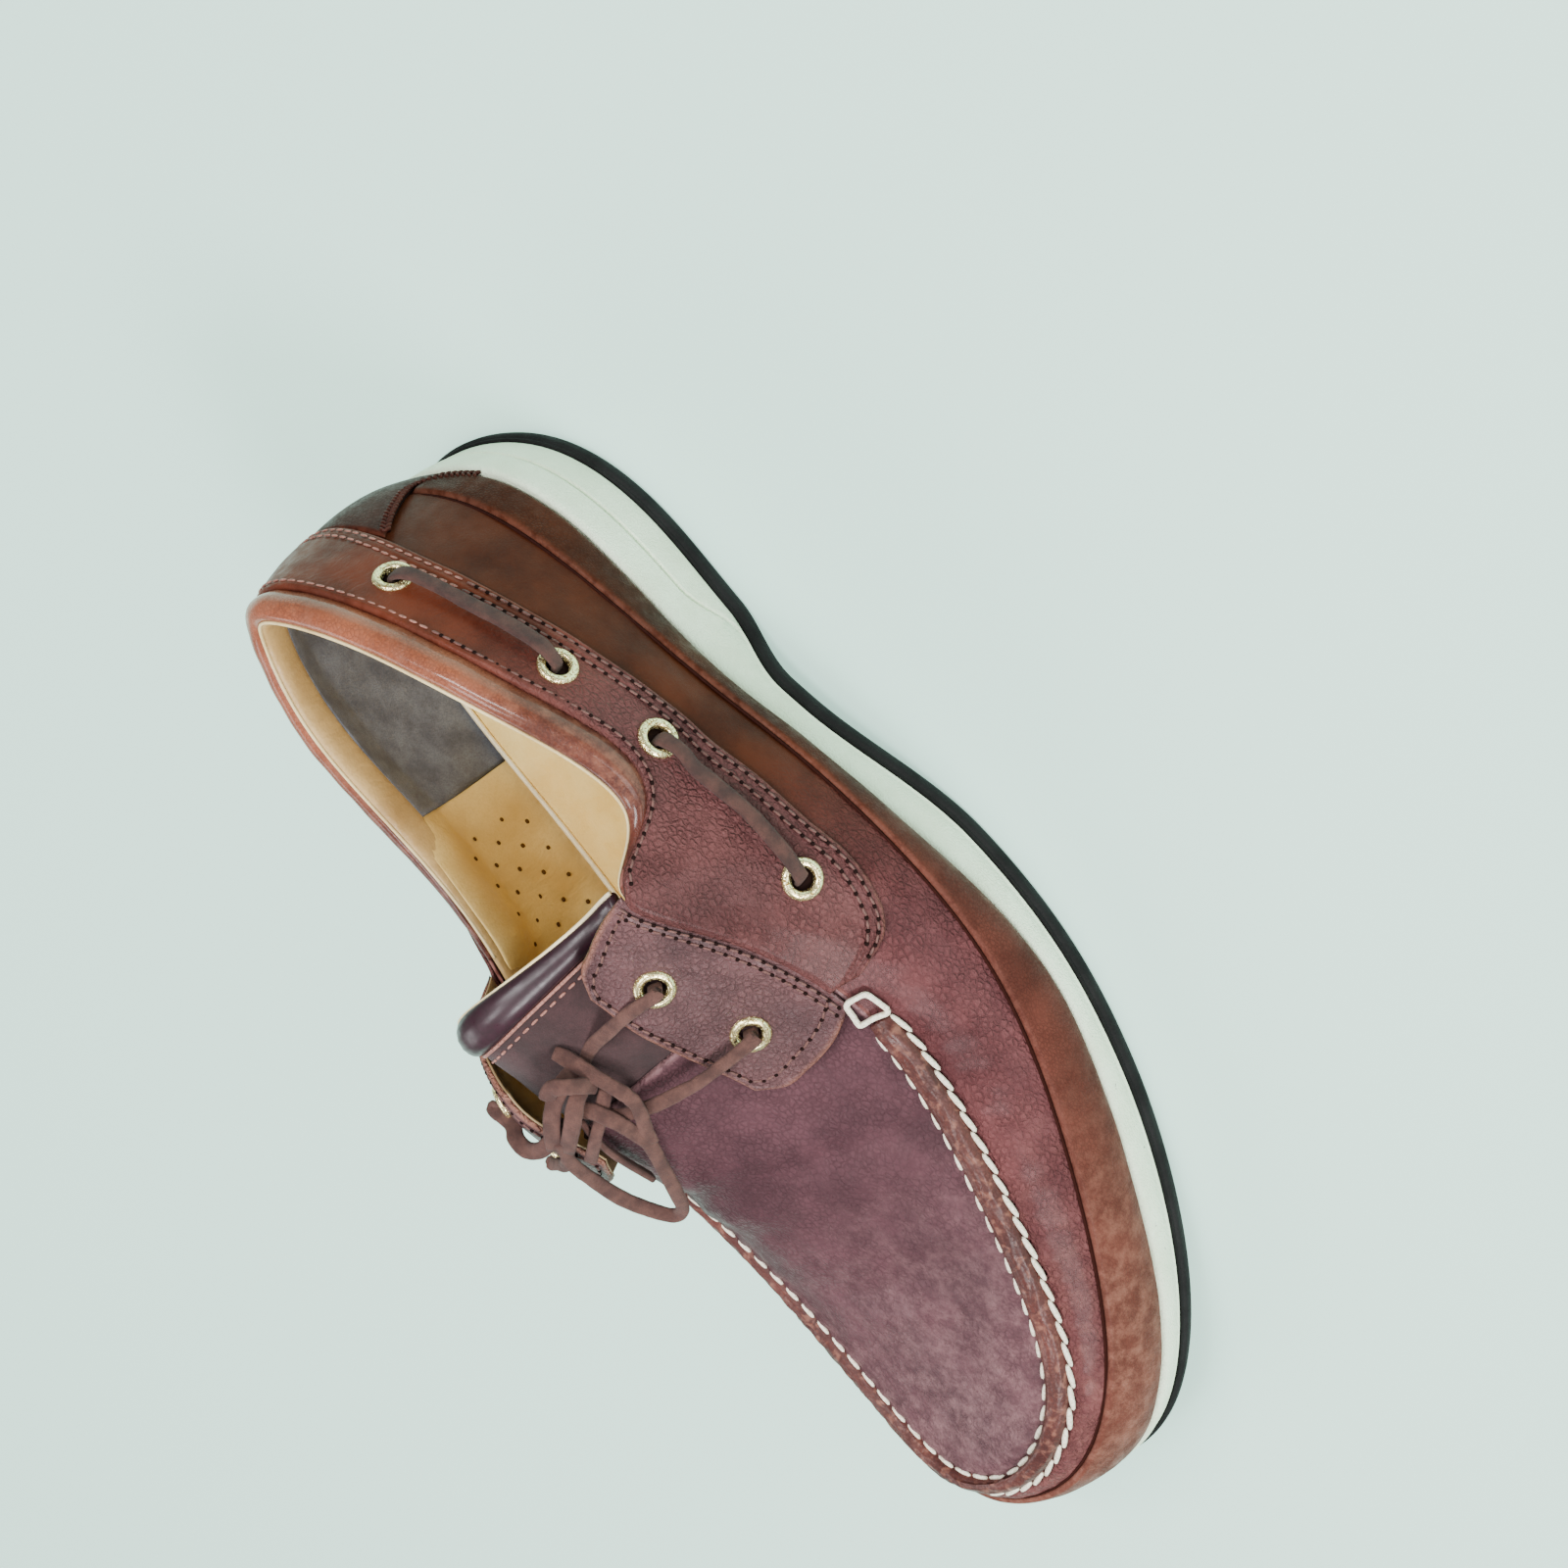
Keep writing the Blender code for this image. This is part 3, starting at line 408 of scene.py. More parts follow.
def add_leaf(name, place, a, b, thick, finish, replaced=(), closed=False, rounding=1.1, base=0.0,
             relief=None, worn=None):
    """A layer of leather with rounded edges, lying base off its surface.

    place(a, b, lift) gives its points. relief(a, b, edge) adds to its outer face, where edge is the
    distance from the border. worn(a, b) says how much its edges are rubbed. closed joins its ends.
    """
    a, b = np.meshgrid(a, b, indexing="ij")
    inner = place(a, b, np.full(a.shape, base))
    edge = border_distance(inner, closed)
    swell = np.sqrt(1.0 - (1.0 - np.clip(edge / rounding, 0.0, 1.0)) ** 2)
    lift = base + (thick(a, b) if callable(thick) else thick) * swell
    if relief is not None:
        lift = lift + relief(a, b, edge) * swell
    outer = place(a, b, lift)
    rows, columns = a.shape
    faces = grid_faces(rows, columns, 0, closed)
    faces += [face[::-1] for face in grid_faces(rows, columns, rows * columns, closed)]
    points = np.concatenate([outer.reshape(-1, 3), inner.reshape(-1, 3)])
    made = add_object(name, points, faces, finish, replaced)
    share = 1.0 - np.clip(edge / WORN_REACH, 0.0, 1.0)
    if worn is not None:
        share = share * worn(a, b)
    kept = made.data.attributes.new("edge", "FLOAT", "POINT")
    kept.data.foreach_set("value", np.tile(share.ravel(), 2).astype(np.float32))
    return tidy_mesh(made)


def bead_template(around=8, rings=5):
    """Points of an egg along +X, from -1 to 1, and its faces."""
    points, faces = [(-1.0, 0.0, 0.0)], []
    for r in range(1, rings):
        angle = math.pi * r / rings
        reach = math.sin(angle) ** 0.7
        for k in range(around):
            turn = 2 * math.pi * k / around
            points.append((-math.cos(angle), reach * math.cos(turn), reach * math.sin(turn)))
    points.append((1.0, 0.0, 0.0))
    last = 1 + (rings - 2) * around
    for k in range(around):
        ahead = (k + 1) % around
        faces.append((0, 1 + ahead, 1 + k))
        faces.append((len(points) - 1, last + k, last + ahead))
    return np.array(points), faces + grid_faces(rings - 1, around, 1, False, True)


def add_beads(name, points, along, normals, size, finish, slant=0.0, jitter=0.0):
    """Egg-shaped stitches, all in one mesh. size is (length, width, height); slant turns each one."""
    shape, template = bead_template()
    side = unit(np.cross(normals, along))
    along = np.cross(side, normals)
    turned = along * math.cos(slant) + side * math.sin(slant)
    across = np.cross(normals, turned)
    scale = np.array(size) / 2.0
    every, faces = [], []
    for k, point in enumerate(points):
        grow = 1.0 + jitter * RNG.uniform(-1.0, 1.0, 3)
        axes = np.stack([turned[k], across[k], normals[k]])
        every.append(point + (shape * scale * grow) @ axes)
        faces += [tuple(i + k * len(shape) for i in face) for face in template]
    add_object(name, np.concatenate(every), faces, finish)


def stitch_frames(line, above, pitch):
    """Points at even distances along a line, the directions there and those square to them, upward."""
    legs = along_lengths(line)
    count = max(int(round(legs[-1] / pitch)), 1)
    at = (np.arange(count) + 0.5) * legs[-1] / count
    ahead = interpolated(np.minimum(at + 0.4, legs[-1]), legs, line)
    behind = interpolated(np.maximum(at - 0.4, 0.0), legs, line)
    along = unit(ahead - behind)
    return interpolated(at, legs, line), along, squared(interpolated(at, legs, above), along)


def stitch_row(name, place, a, b, lift, pitch, size, finish, slant=0.0, jitter=0.06, pricked=False):
    """Stitches along the path a, b on a surface, with dark beads of painted shade for needle holes between
    them if it is pricked.
    """
    line = place(a, b, np.full(a.shape, lift))
    above = place(a, b, np.full(a.shape, lift + 1.0)) - line
    points, along, normal = stitch_frames(line, above, pitch)
    add_beads(name, points, along, normal, size, finish, slant, jitter)
    if pricked:
        ends = points + along * pitch / 2.0 - normal * size[2] * 0.2
        add_beads(name + "_holes", ends, along, normal, NEEDLE_HOLE, DARK)


# ---------------------------------------------------------------- finishes


def srgb(red, green, blue):
    """A colour in display values from 0 to 255, as the linear numbers that shaders take."""
    shares = [c / 255.0 for c in (red, green, blue)]
    return tuple(c / 12.92 if c <= 0.04045 else ((c + 0.055) / 1.055) ** 2.4 for c in shares) + (1.0,)


class Finish:
    """A material in the making. Its place is the object's own coordinate in millimetres."""

    def __init__(self, name, roughness=0.5, metallic=0.0):
        self.material = bpy.data.materials.new(name)
        self.material.use_nodes = True
        self.tree = self.material.node_tree
        self.shader = self.tree.nodes["Principled BSDF"]
        self.shader.inputs["Roughness"].default_value = roughness
        self.shader.inputs["Metallic"].default_value = metallic
        coordinate = self.tree.nodes.new("ShaderNodeTexCoord")
        self.place = self.vector("MULTIPLY", coordinate.outputs["Object"], (1000.0, 1000.0, 1000.0))
        parts = self.node("ShaderNodeSeparateXYZ", {0: self.place})
        self.x = parts.outputs[0]

    def set(self, socket, value):
        if hasattr(value, "is_output"):
            self.tree.links.new(value, socket)
        else:
            socket.default_value = value

    def node(self, kind, inputs, **settings):
        made = self.tree.nodes.new(kind)
        for key, value in settings.items():
            setattr(made, key, value)
        for key, value in inputs.items():
            self.set(made.inputs[key], value)
        return made

    def math(self, operation, a, b):
        return self.node("ShaderNodeMath", {0: a, 1: b}, operation=operation).outputs[0]

    def vector(self, operation, a, b):
        return self.node("ShaderNodeVectorMath", {0: a, 1: b}, operation=operation).outputs[0]

    def noise(self, scale, detail=2.0, place=None, roughness=0.5):
        inputs = {"Vector": place or self.place, "Scale": scale, "Detail": detail, "Roughness": roughness}
        return self.node("ShaderNodeTexNoise", inputs).outputs["Fac"]

    def cells(self, scale, place):
        inputs = {"Vector": place, "Scale": scale}
        return self.node("ShaderNodeTexVoronoi", inputs, feature="DISTANCE_TO_EDGE").outputs["Distance"]

    def warped(self, scale, reach, stretch=(1.0, 1.0, 1.0)):
        """The place, pushed about by noise and stretched."""
        source = self.node("ShaderNodeTexNoise", {"Vector": self.place, "Scale": scale, "Detail": 2.0})
        push = self.vector("SUBTRACT", source.outputs["Color"], (0.5, 0.5, 0.5))
        push = self.vector("MULTIPLY", push, (reach, reach, reach))
        return self.vector("MULTIPLY", self.vector("ADD", self.place, push), stretch)

    def ramp(self, value, low, high, start=0.0, end=1.0):
        """Goes smoothly from start to end as value goes from low to high."""
        inputs = {"Value": value, "From Min": low, "From Max": high, "To Min": start, "To Max": end}
        made = self.node("ShaderNodeMapRange", inputs, interpolation_type="SMOOTHSTEP")
        return made.outputs["Result"]

    def mix(self, share, a, b):
        return self.node("ShaderNodeMix", {0: share, 6: a, 7: b}, data_type="RGBA").outputs[2]

    def attribute(self, name):
        return self.node("ShaderNodeAttribute", {}, attribute_name=name).outputs["Fac"]

    def bump(self, height, depth, **below):
        """Relief depth millimetres deep, on top of the Normal that is given."""
        inputs = {"Height": height, "Distance": depth * MM, **below}
        return self.node("ShaderNodeBump", inputs).outputs["Normal"]

    def finish(self, colour, roughness=None, normal=None, **fixed):
        """Sets the shader's colour, roughness and bump, and fixed sockets by their names."""
        self.set(self.shader.inputs["Base Color"], colour)
        if roughness is not None:
            self.set(self.shader.inputs["Roughness"], roughness)
        if normal is not None:
            self.set(self.shader.inputs["Normal"], normal)
        for key, value in fixed.items():
            self.shader.inputs[key.replace("_", " ")].default_value = value
        return self.material


def leather(name, light, dark, worn, roughness, grain, depth, gloss=0.08, pebbled=None, wear=None, rear=None,
            lines=0.0, shine=0.2, polish=0.22, rub=(0.2, 0.8)):
    """Aniline leather, its cut and rolled edges paled by the edge attribute.

    grain is the size of its pebbles, pebbled(f) says where they show, and depth is how deep they are.
    wear(f) says where the surface is rubbed pale, and rub how much the edges are. rear is a light, a
    dark and a mask of another tone. lines is the share of fine stretch lines. gloss and polish are
    the weight and roughness of the coat, and shine is the shine under it.
    """
    f = Finish(name)
    place = f.warped(0.35, grain * 0.5, (0.85, 1.1, 1.1))
    cells = f.cells(1.0 / grain, place)
    small = f.cells(2.1 / grain, place)
    shown = f.ramp(f.noise(0.12, 3.0), 0.3, 0.6, 0.5, 1.0)
    shown = f.math("MULTIPLY", pebbled(f) if pebbled else 1.0, shown)
    crease = f.math("ADD", f.ramp(cells, 0.0, 0.26, 0.75, 0.0), f.ramp(small, 0.0, 0.34, 0.3, 0.0))
    crease = f.math("MULTIPLY", crease, shown)
    fine = f.noise(1.6, 5.0, roughness=0.7)
    mottle = f.ramp(f.noise(0.05, 5.0, roughness=0.62), 0.3, 0.7)
    if rear:
        light = f.mix(rear[2](f), light, rear[0])
        dark = f.mix(rear[2](f), dark, rear[1])
    colour = f.mix(mottle, dark, light)
    # The grain's creases are darkened: painted shade in them.
    colour = f.mix(f.math("MULTIPLY", crease, 0.55), colour, f.mix(0.5, dark, srgb(24, 10, 10)))
    colour = f.mix(f.ramp(fine, 0.4, 0.75, 0.0, 0.3), colour, light)
    rubbed = f.math("MULTIPLY", f.attribute("edge"), f.ramp(f.noise(0.4, 3.0), 0.3, 0.6, *rub))
    if wear:
        rubbed = f.math("MAXIMUM", rubbed, wear(f))
    colour = f.mix(rubbed, colour, worn)
    rough = f.ramp(f.noise(0.3, 4.0), 0.3, 0.7, roughness - 0.1, roughness + 0.1)
    rough = f.math("ADD", rough, f.math("MULTIPLY", crease, 0.2))
    height = f.math("SUBTRACT", f.math("MULTIPLY", fine, 0.3), crease)
    if lines:
        streak = f.noise(0.9, 4.0, f.warped(0.08, 7.0, (1.0, 0.25, 0.25)), 0.6)
        height = f.math("ADD", height, f.math("MULTIPLY", streak, lines))
    return f.finish(colour, rough, f.bump(height, depth), Coat_Weight=gloss, Coat_Roughness=polish,
                    Coat_IOR=1.4, Specular_IOR_Level=shine)


def past(start, end):
    """A mask that grows towards the toe between two places along the shoe."""
    return lambda f: f.ramp(f.x, start, end)


def toe_wear(f):
    near_toe = f.ramp(f.x, 140.0, 235.0)
    return f.math("MULTIPLY", near_toe, f.ramp(f.noise(0.22, 6.0, roughness=0.75), 0.38, 0.75, 0.08, 0.6))


def roll_wear(f):
    return f.ramp(f.noise(0.22, 5.0, roughness=0.7), 0.42, 0.7, 0.0, 0.55)


def suede(name, light, dark, nap=0.5):
    """Brushed leather: soft, matt and patchy, with a short nap."""
    f = Finish(name, 0.95)
    patches = f.ramp(f.noise(0.12, 4.0, roughness=0.6), 0.3, 0.7)
    colour = f.mix(patches, dark, light)
    fibres = f.noise(2.6, 4.0, f.warped(0.8, 1.5, (1.0, 1.0, 0.6)), 0.7)
    colour = f.mix(f.ramp(fibres, 0.35, 0.7, 0.0, 0.5), colour, tuple(c * 0.5 for c in dark[:3]) + (1.0,))
    return f.finish(colour, None, f.bump(fibres, nap * 0.4), Sheen_Weight=0.08, Sheen_Roughness=0.5)


def lining(name, light, dark, roughness=0.45, wrinkled=0.9):
    """Smooth lining leather, with faint wrinkles and a dull shine."""
    f = Finish(name)
    patches = f.ramp(f.noise(0.05, 4.0), 0.3, 0.7)
    wrinkle = f.noise(0.18, 3.0, f.warped(0.05, 8.0, (1.0, 1.0, 0.35)))
    colour = f.mix(f.ramp(f.noise(1.5, 3.0), 0.4, 0.7, 0.0, 0.25), f.mix(patches, dark, light), dark)
    normal = f.bump(f.noise(1.8, 3.0), 0.08, Normal=f.bump(wrinkle, wrinkled))
    rough = f.ramp(f.noise(0.2, 2.0), 0.3, 0.7, roughness - 0.1, roughness + 0.12)
    return f.finish(colour, rough, normal, Coat_Weight=0.12, Coat_Roughness=0.35)


def thread(name, light, dark, roughness=0.55):
    f = Finish(name, roughness)
    twist = f.noise(1.8, 3.0, roughness=0.6)
    colour = f.mix(f.ramp(twist, 0.3, 0.65), dark, light)
    return f.finish(colour, None, f.bump(twist, 0.15), Sheen_Weight=0.1)


def rubber(name, light, dark, grain, depth, roughness, shine, scuffs=None):
    """Moulded rubber with a fine leather-like grain, dust in its hollows and a few scuffs."""
    f = Finish(name, roughness)
    cells = f.ramp(f.cells(1.0 / grain, f.warped(0.6, grain)), 0.0, 0.25)
    dust = f.ramp(f.noise(0.08, 5.0, roughness=0.6), 0.35, 0.75)
    colour = f.mix(f.math("MULTIPLY", dust, 0.6), light, dark)
    if scuffs is not None:
        marks = f.ramp(f.noise(0.35, 6.0, f.warped(0.1, 6.0, (1.0, 1.0, 2.2)), 0.75), 0.665, 0.7)
        marks = f.math("MULTIPLY", marks, f.ramp(f.x, 120.0, 190.0))
        colour = f.mix(marks, colour, scuffs)
    return f.finish(colour, f.ramp(dust, 0.0, 1.0, roughness - 0.06, roughness + 0.1), f.bump(cells, depth),
                    Specular_IOR_Level=shine)


def rear_tone_and_shade(f):
    """Behind the vamp the leather is smooth and a darker, yellower brown: partly its own tone, partly painted
    shade.
    """
    return f.ramp(f.x, 60.0, 125.0, 1.0, 0.0)


def heel_end(f):
    """At the heel the strip and the collar are a redder, lighter brown."""
    return f.ramp(f.x, 0.0, 48.0, 1.0, 0.0)


def rawhide_finish(name, light, dark):
    """Flat rawhide lace: matt, fuzzy and patchy."""
    f = Finish(name, 0.92)
    fibres = f.noise(3.0, 4.0, f.warped(1.0, 1.2), 0.7)
    patches = f.ramp(f.noise(0.3, 3.0), 0.3, 0.7)
    colour = f.mix(patches, dark, light)
    colour = f.mix(f.ramp(fibres, 0.4, 0.7, 0.0, 0.4), colour, srgb(46, 30, 27))
    return f.finish(colour, None, f.bump(fibres, 0.3), Sheen_Weight=0.03, Sheen_Roughness=0.45)


def brass_finish():
    """Pale brass, engraved with a fine speckle."""
    f = Finish("pale_brass", 0.3, 1.0)
    speckle = f.ramp(f.noise(2.2, 2.0, roughness=0.7), 0.38, 0.48)
    colour = f.mix(speckle, srgb(158, 124, 58), srgb(255, 240, 184))
    return f.finish(colour, f.ramp(speckle, 0.0, 1.0, 0.5, 0.26), f.bump(speckle, 0.14))


def plain_dark(name, dark, light):
    f = Finish(name, 0.9)
    return f.finish(f.mix(f.noise(0.8, 2.0), dark, light), Specular_IOR_Level=0.05)


# The wall and the band darken towards the heel: partly their own tone, partly painted shade.
QUARTER_TONES = (srgb(78, 36, 19), srgb(53, 22, 11), rear_tone_and_shade)
WALL = leather(
    "wall_leather", srgb(106, 62, 63), srgb(76, 42, 44), srgb(156, 104, 96), 0.38, 1.6, 0.45,
    pebbled=past(60.0, 110.0), wear=lambda f: f.math("MULTIPLY", toe_wear(f), 0.6), rear=QUARTER_TONES,
    gloss=0.06, shine=0.06, polish=0.2,
)
PLUG = leather(
    "plug_leather", srgb(89, 58, 64), srgb(62, 40, 45), srgb(158, 120, 121), 0.42, 1.5, 0.18,
    wear=lambda f: f.math("MULTIPLY", toe_wear(f), 0.8), lines=0.5, gloss=0.05, shine=0.08,
)
STRIP = leather(
    "strip_leather", srgb(100, 60, 59), srgb(70, 40, 40), srgb(136, 86, 74), 0.4, 1.55, 0.45,
    pebbled=past(0.0, 55.0), rear=(srgb(100, 45, 27), srgb(66, 27, 15), heel_end), lines=0.5,
    gloss=0.07, shine=0.1, polish=0.18,
)
FLAP = leather(
    "flap_leather", srgb(102, 68, 69), srgb(72, 48, 50), srgb(148, 98, 80), 0.42, 1.45, 0.4,
    gloss=0.1, shine=0.25, rub=(0.5, 0.95),
)
BAND = leather(
    "band_leather", srgb(96, 51, 42), srgb(71, 35, 28), srgb(152, 104, 88), 0.4, 0.9, 0.08,
    wear=toe_wear, rear=(srgb(74, 32, 14), srgb(48, 18, 6), rear_tone_and_shade), lines=0.3,
    gloss=0.02, shine=0.05,
)
PATCH = leather(
    "patch_leather", srgb(66, 29, 21), srgb(45, 19, 14), srgb(100, 54, 40), 0.35, 1.2, 0.05,
    gloss=0.1, shine=0.04, polish=0.12,
)
ROLL = leather(
    "collar_leather", srgb(92, 46, 36), srgb(62, 30, 24), srgb(140, 88, 68), 0.34, 1.0, 0.07,
    wear=roll_wear, rear=(srgb(158, 90, 62), srgb(114, 60, 41), heel_end), lines=0.3,
    gloss=0.6, shine=0.15, polish=0.14,
)
TONGUE_PAD = leather(
    "tongue_pad_leather", srgb(56, 30, 40), srgb(40, 21, 29), srgb(80, 48, 52), 0.36, 3.0, 0.01,
    gloss=0.45, shine=0.2, polish=0.28,
)
BRAID = leather(
    "braid_leather", srgb(86, 45, 35), srgb(52, 25, 20), srgb(136, 86, 70), 0.4, 1.0, 0.05, shine=0.1,
)
SEAM_ROLL = leather(
    "seam_roll_leather", srgb(96, 54, 48), srgb(60, 31, 29), srgb(150, 100, 84), 0.36, 1.2, 0.06,
    wear=lambda f: f.ramp(f.noise(0.5, 4.0, f.warped(0.1, 4.0)), 0.5, 0.72, 0.0, 0.5),
)
TONGUE_BODY = suede("tongue_suede", srgb(66, 40, 42), srgb(44, 26, 27))
HEEL_LINING = suede("heel_lining_suede", srgb(112, 114, 118), srgb(80, 80, 84), 0.35)
TAN_LINING = lining("tan_lining_leather", srgb(228, 196, 122), srgb(196, 156, 84))
RIM_TAN = lining("rim_leather", srgb(194, 160, 102), srgb(152, 118, 70))
# Partly the lining's pale edge, partly painted highlight along it.
TOPLINE_EDGE_AND_HIGHLIGHT = lining("topline_edge_and_highlight_leather", srgb(230, 210, 158), srgb(196, 168, 114))
FLAP_TAN = lining("flap_backing_leather", srgb(176, 152, 112), srgb(136, 112, 78))
FOOTBED = lining("footbed_leather", srgb(254, 222, 140), srgb(236, 192, 104), 0.3, 0.3)
PIPING = lining("piping_leather", srgb(255, 244, 206), srgb(238, 214, 160))
WHITE_THREAD = thread("waxed_white_thread", srgb(246, 240, 222), srgb(206, 192, 164))
BROWN_THREAD = thread("brown_thread", srgb(104, 62, 54), srgb(66, 35, 31))
PINK_THREAD = thread("pink_thread", srgb(168, 112, 98), srgb(110, 64, 54))
SCUFFS = srgb(70, 66, 58)
MIDSOLE = rubber("ivory_rubber", srgb(236, 250, 222), srgb(214, 228, 196), 0.9, 0.1, 0.55, 0.3, SCUFFS)
OUTSOLE = rubber("dark_rubber", srgb(28, 28, 28), srgb(16, 16, 16), 1.2, 0.05, 0.7, 0.12)
RAWHIDE = rawhide_finish("rawhide", srgb(95, 62, 54), srgb(68, 41, 36))
DARK_RAWHIDE = rawhide_finish("rawhide_dark", srgb(80, 49, 42), srgb(54, 32, 28))
BRASS = brass_finish()
# Painted shade: needle holes, the eyelets' holes and the gaps in the braid.
DARK = plain_dark("painted_hole_shade", srgb(20, 11, 10), srgb(34, 20, 18))
# Painted shadow along the mudguard's top edge.
SHADOW_LINE = plain_dark("painted_shadow_brown", srgb(34, 14, 11), srgb(50, 23, 18))
# Painted shade in the lining's air holes.
PINHOLE_SHADE = plain_dark("pinhole_shade_brown", srgb(70, 46, 20), srgb(96, 66, 30))


# ---------------------------------------------------------------- the camera

CAMERA_LENS = 76.48
CAMERA_AT = Vector((48.93, 564.25, 560.15)) * MM
CAMERA_LOOKS_AT = Vector((74.61, 50.34, 35.0)) * MM
CAMERA_ROLL = math.radians(-127.39)


def make_camera():
    lens = bpy.data.cameras.new("camera")
    lens.lens = CAMERA_LENS
    lens.sensor_width = 36.0
    lens.clip_start = 0.01
    made = linked("camera", lens)
    aim = (CAMERA_LOOKS_AT - CAMERA_AT).to_track_quat("-Z", "Y").to_matrix()
    turn = aim @ Matrix.Rotation(CAMERA_ROLL, 3, "Z")
    made.matrix_world = Matrix.Translation(CAMERA_AT) @ turn.to_4x4()
    bpy.context.scene.camera = made


make_camera()

# ---------------------------------------------------------------- the lace

# The eyestay flaps: share of the way from the top line to the free edge, and the two sections there
EYESTAY_EDGES = {
    "outer": ((0.0, 4.02, 5.77), (0.3, 4.13, 5.86), (0.6, 4.28, 5.88), (0.85, 4.42, 5.86), (1.0, 4.62, 5.76)),
    "inner": ((0.0, 4.02, 5.50), (0.3, 4.16, 5.57), (0.6, 4.36, 5.58), (0.85, 4.58, 5.56), (1.0, 4.80, 5.46)),
}
EYESTAY_REACH = {
    "outer": open_spline((4.0, 4.6, 5.1, 5.4, 5.8), (27.0, 28.0, 33.0, 34.0, 32.5)),
    "inner": open_spline((4.0, 4.6, 5.1, 5.4, 5.6), (24.0, 29.0, 36.0, 35.5, 32.0)),
}
EYESTAY_RISE = {"outer": 1.0, "inner": 4.0}
EYESTAY_LAP = 0.2
EYESTAY_CLEAR = 0.5
EYESTAY_THICK = 1.8
SIDES = ("outer", "inner")
# Section and height up the wall of each side eyelet, section and share across the flap of the others
SIDE_EYELETS = {
    "outer": ((0.94, 42.0), (2.13, 40.7), (2.85, 39.0), (4.91, 38.0)),
    "inner": ((-1.35, 42.0), (-2.40, 40.5), (-3.33, 39.0), (-4.70, 38.0)),
}
FLAP_EYELETS = {"outer": ((4.85, 0.62), (5.48, 0.61)), "inner": ((4.85, 0.69), (5.27, 0.57))}
STRIP_BASE = 0.2  # how far the lace strip's back and its face stand off the wall
STRIP_FACE = 1.8

LACE_WIDE = 3.5
LACE_THICK = 1.7
TOWARDS_LIGHT = (0.0, 0.7, 0.7)
# Points that each strand passes between its eyelet and the knot
STRANDS = {
    ("outer", 0): (
        (95.5, 16.8, 81.6), (96.5, 8.0, 82.5), (97.5, 0.7, 82.1), (99.9, -4.4, 83.3), (102.8, -7.3, 85.6),
    ),
    ("outer", 1): (
        (117.5, 14.0, 71.9), (117.1, 7.6, 74.9), (116.0, 1.4, 78.9), (113.1, -4.5, 83.7), (107.3, -9.2, 87.5),
    ),
    ("inner", 0): (
        (102.6, -31.2, 87.5), (105.6, -30.0, 89.9), (108.9, -27.9, 90.9), (110.5, -23.2, 91.2),
        (109.5, -18.2, 90.4), (107.1, -13.6, 89.4),
    ),
    ("inner", 1): (
        (116.7, -34.4, 80.8), (117.3, -29.2, 83.5), (115.9, -23.9, 85.9), (112.7, -19.1, 88.0),
        (109.5, -15.1, 88.9),
    ),
}
LOOP = (
    (105.2, -9.1, 88.3), (109.0, -5.4, 87.7), (114.3, -3.4, 85.4), (119.3, -4.0, 82.2),
    (123.4, -5.2, 79.8), (129.3, -9.5, 76.9), (136.7, -15.8, 72.7), (141.5, -21.9, 68.8),
    (142.1, -26.6, 68.2), (137.8, -28.7, 71.2), (131.1, -27.6, 77.1), (123.0, -24.5, 83.4),
    (116.7, -20.6, 88.6), (111.3, -15.5, 91.7),
)
LACE_END = (
    (109.5, -11.3, 87.0), (114.5, -13.5, 84.8), (119.5, -16.5, 81.2), (124.5, -19.5, 76.5),
    (131.4, -23.8, 69.4),
)
KNOT_TURNS = (
    ((111.7, -18.6, 91.8), (106.9, -12.8, 93.5), (102.8, -8.1, 92.9), (100.2, -4.4, 90.0),
     (99.6, -3.4, 85.4)),
    ((113.7, -17.1, 90.4), (109.5, -9.0, 91.9), (105.5, -4.6, 90.7), (103.1, -2.8, 87.2),
     (102.2, -3.5, 82.8)),
    ((101.1, -8.7, 93.4), (99.7, -5.2, 93.3), (101.2, -2.0, 92.2), (103.4, -1.1, 88.6),
     (105.0, -2.4, 85.2)),
)
HANGING = (
    (107.2, -1.9, 83.7), (109.3, -3.8, 85.1), (111.9, -6.4, 86.1), (114.4, -9.9, 86.8), (116.8, -14.0, 86.4),
    (119.0, -18.7, 85.2),
)
FRAYED = (
    (93.8, -5.0, 86.9), (96.0, -3.3, 86.7), (99.0, -1.5, 86.5), (102.6, 0.5, 86.2), (106.8, 2.0, 85.1),
    (110.6, 2.6, 83.6), (113.8, 2.0, 82.4), (117.2, -0.2, 81.4), (120.3, -2.7, 80.6), (122.9, -4.6, 79.8),
)
# A bar of side lace: share of the way between its two eyelets, and height off the strip's face
SIDE_BAR = (
    (0.0, -1.2), (0.02, 1.2), (0.12, 2.9), (0.3, 2.5), (0.5, 1.9), (0.7, 2.5), (0.88, 2.9), (0.98, 1.2),
    (1.0, -1.2),
)


def eyestay_point(side, s, share, lift=0.0):
    s, share = spread(s, share)
    u = s if side == "outer" else 2 * TOE - s
    d = EYESTAY_LAP + (EYESTAY_REACH[side](s)[..., 0] - EYESTAY_LAP) * share
    return skin_at(u, d, EYESTAY_CLEAR + EYESTAY_RISE[side] * smooth_step(share, 0.0, 0.6) + lift)


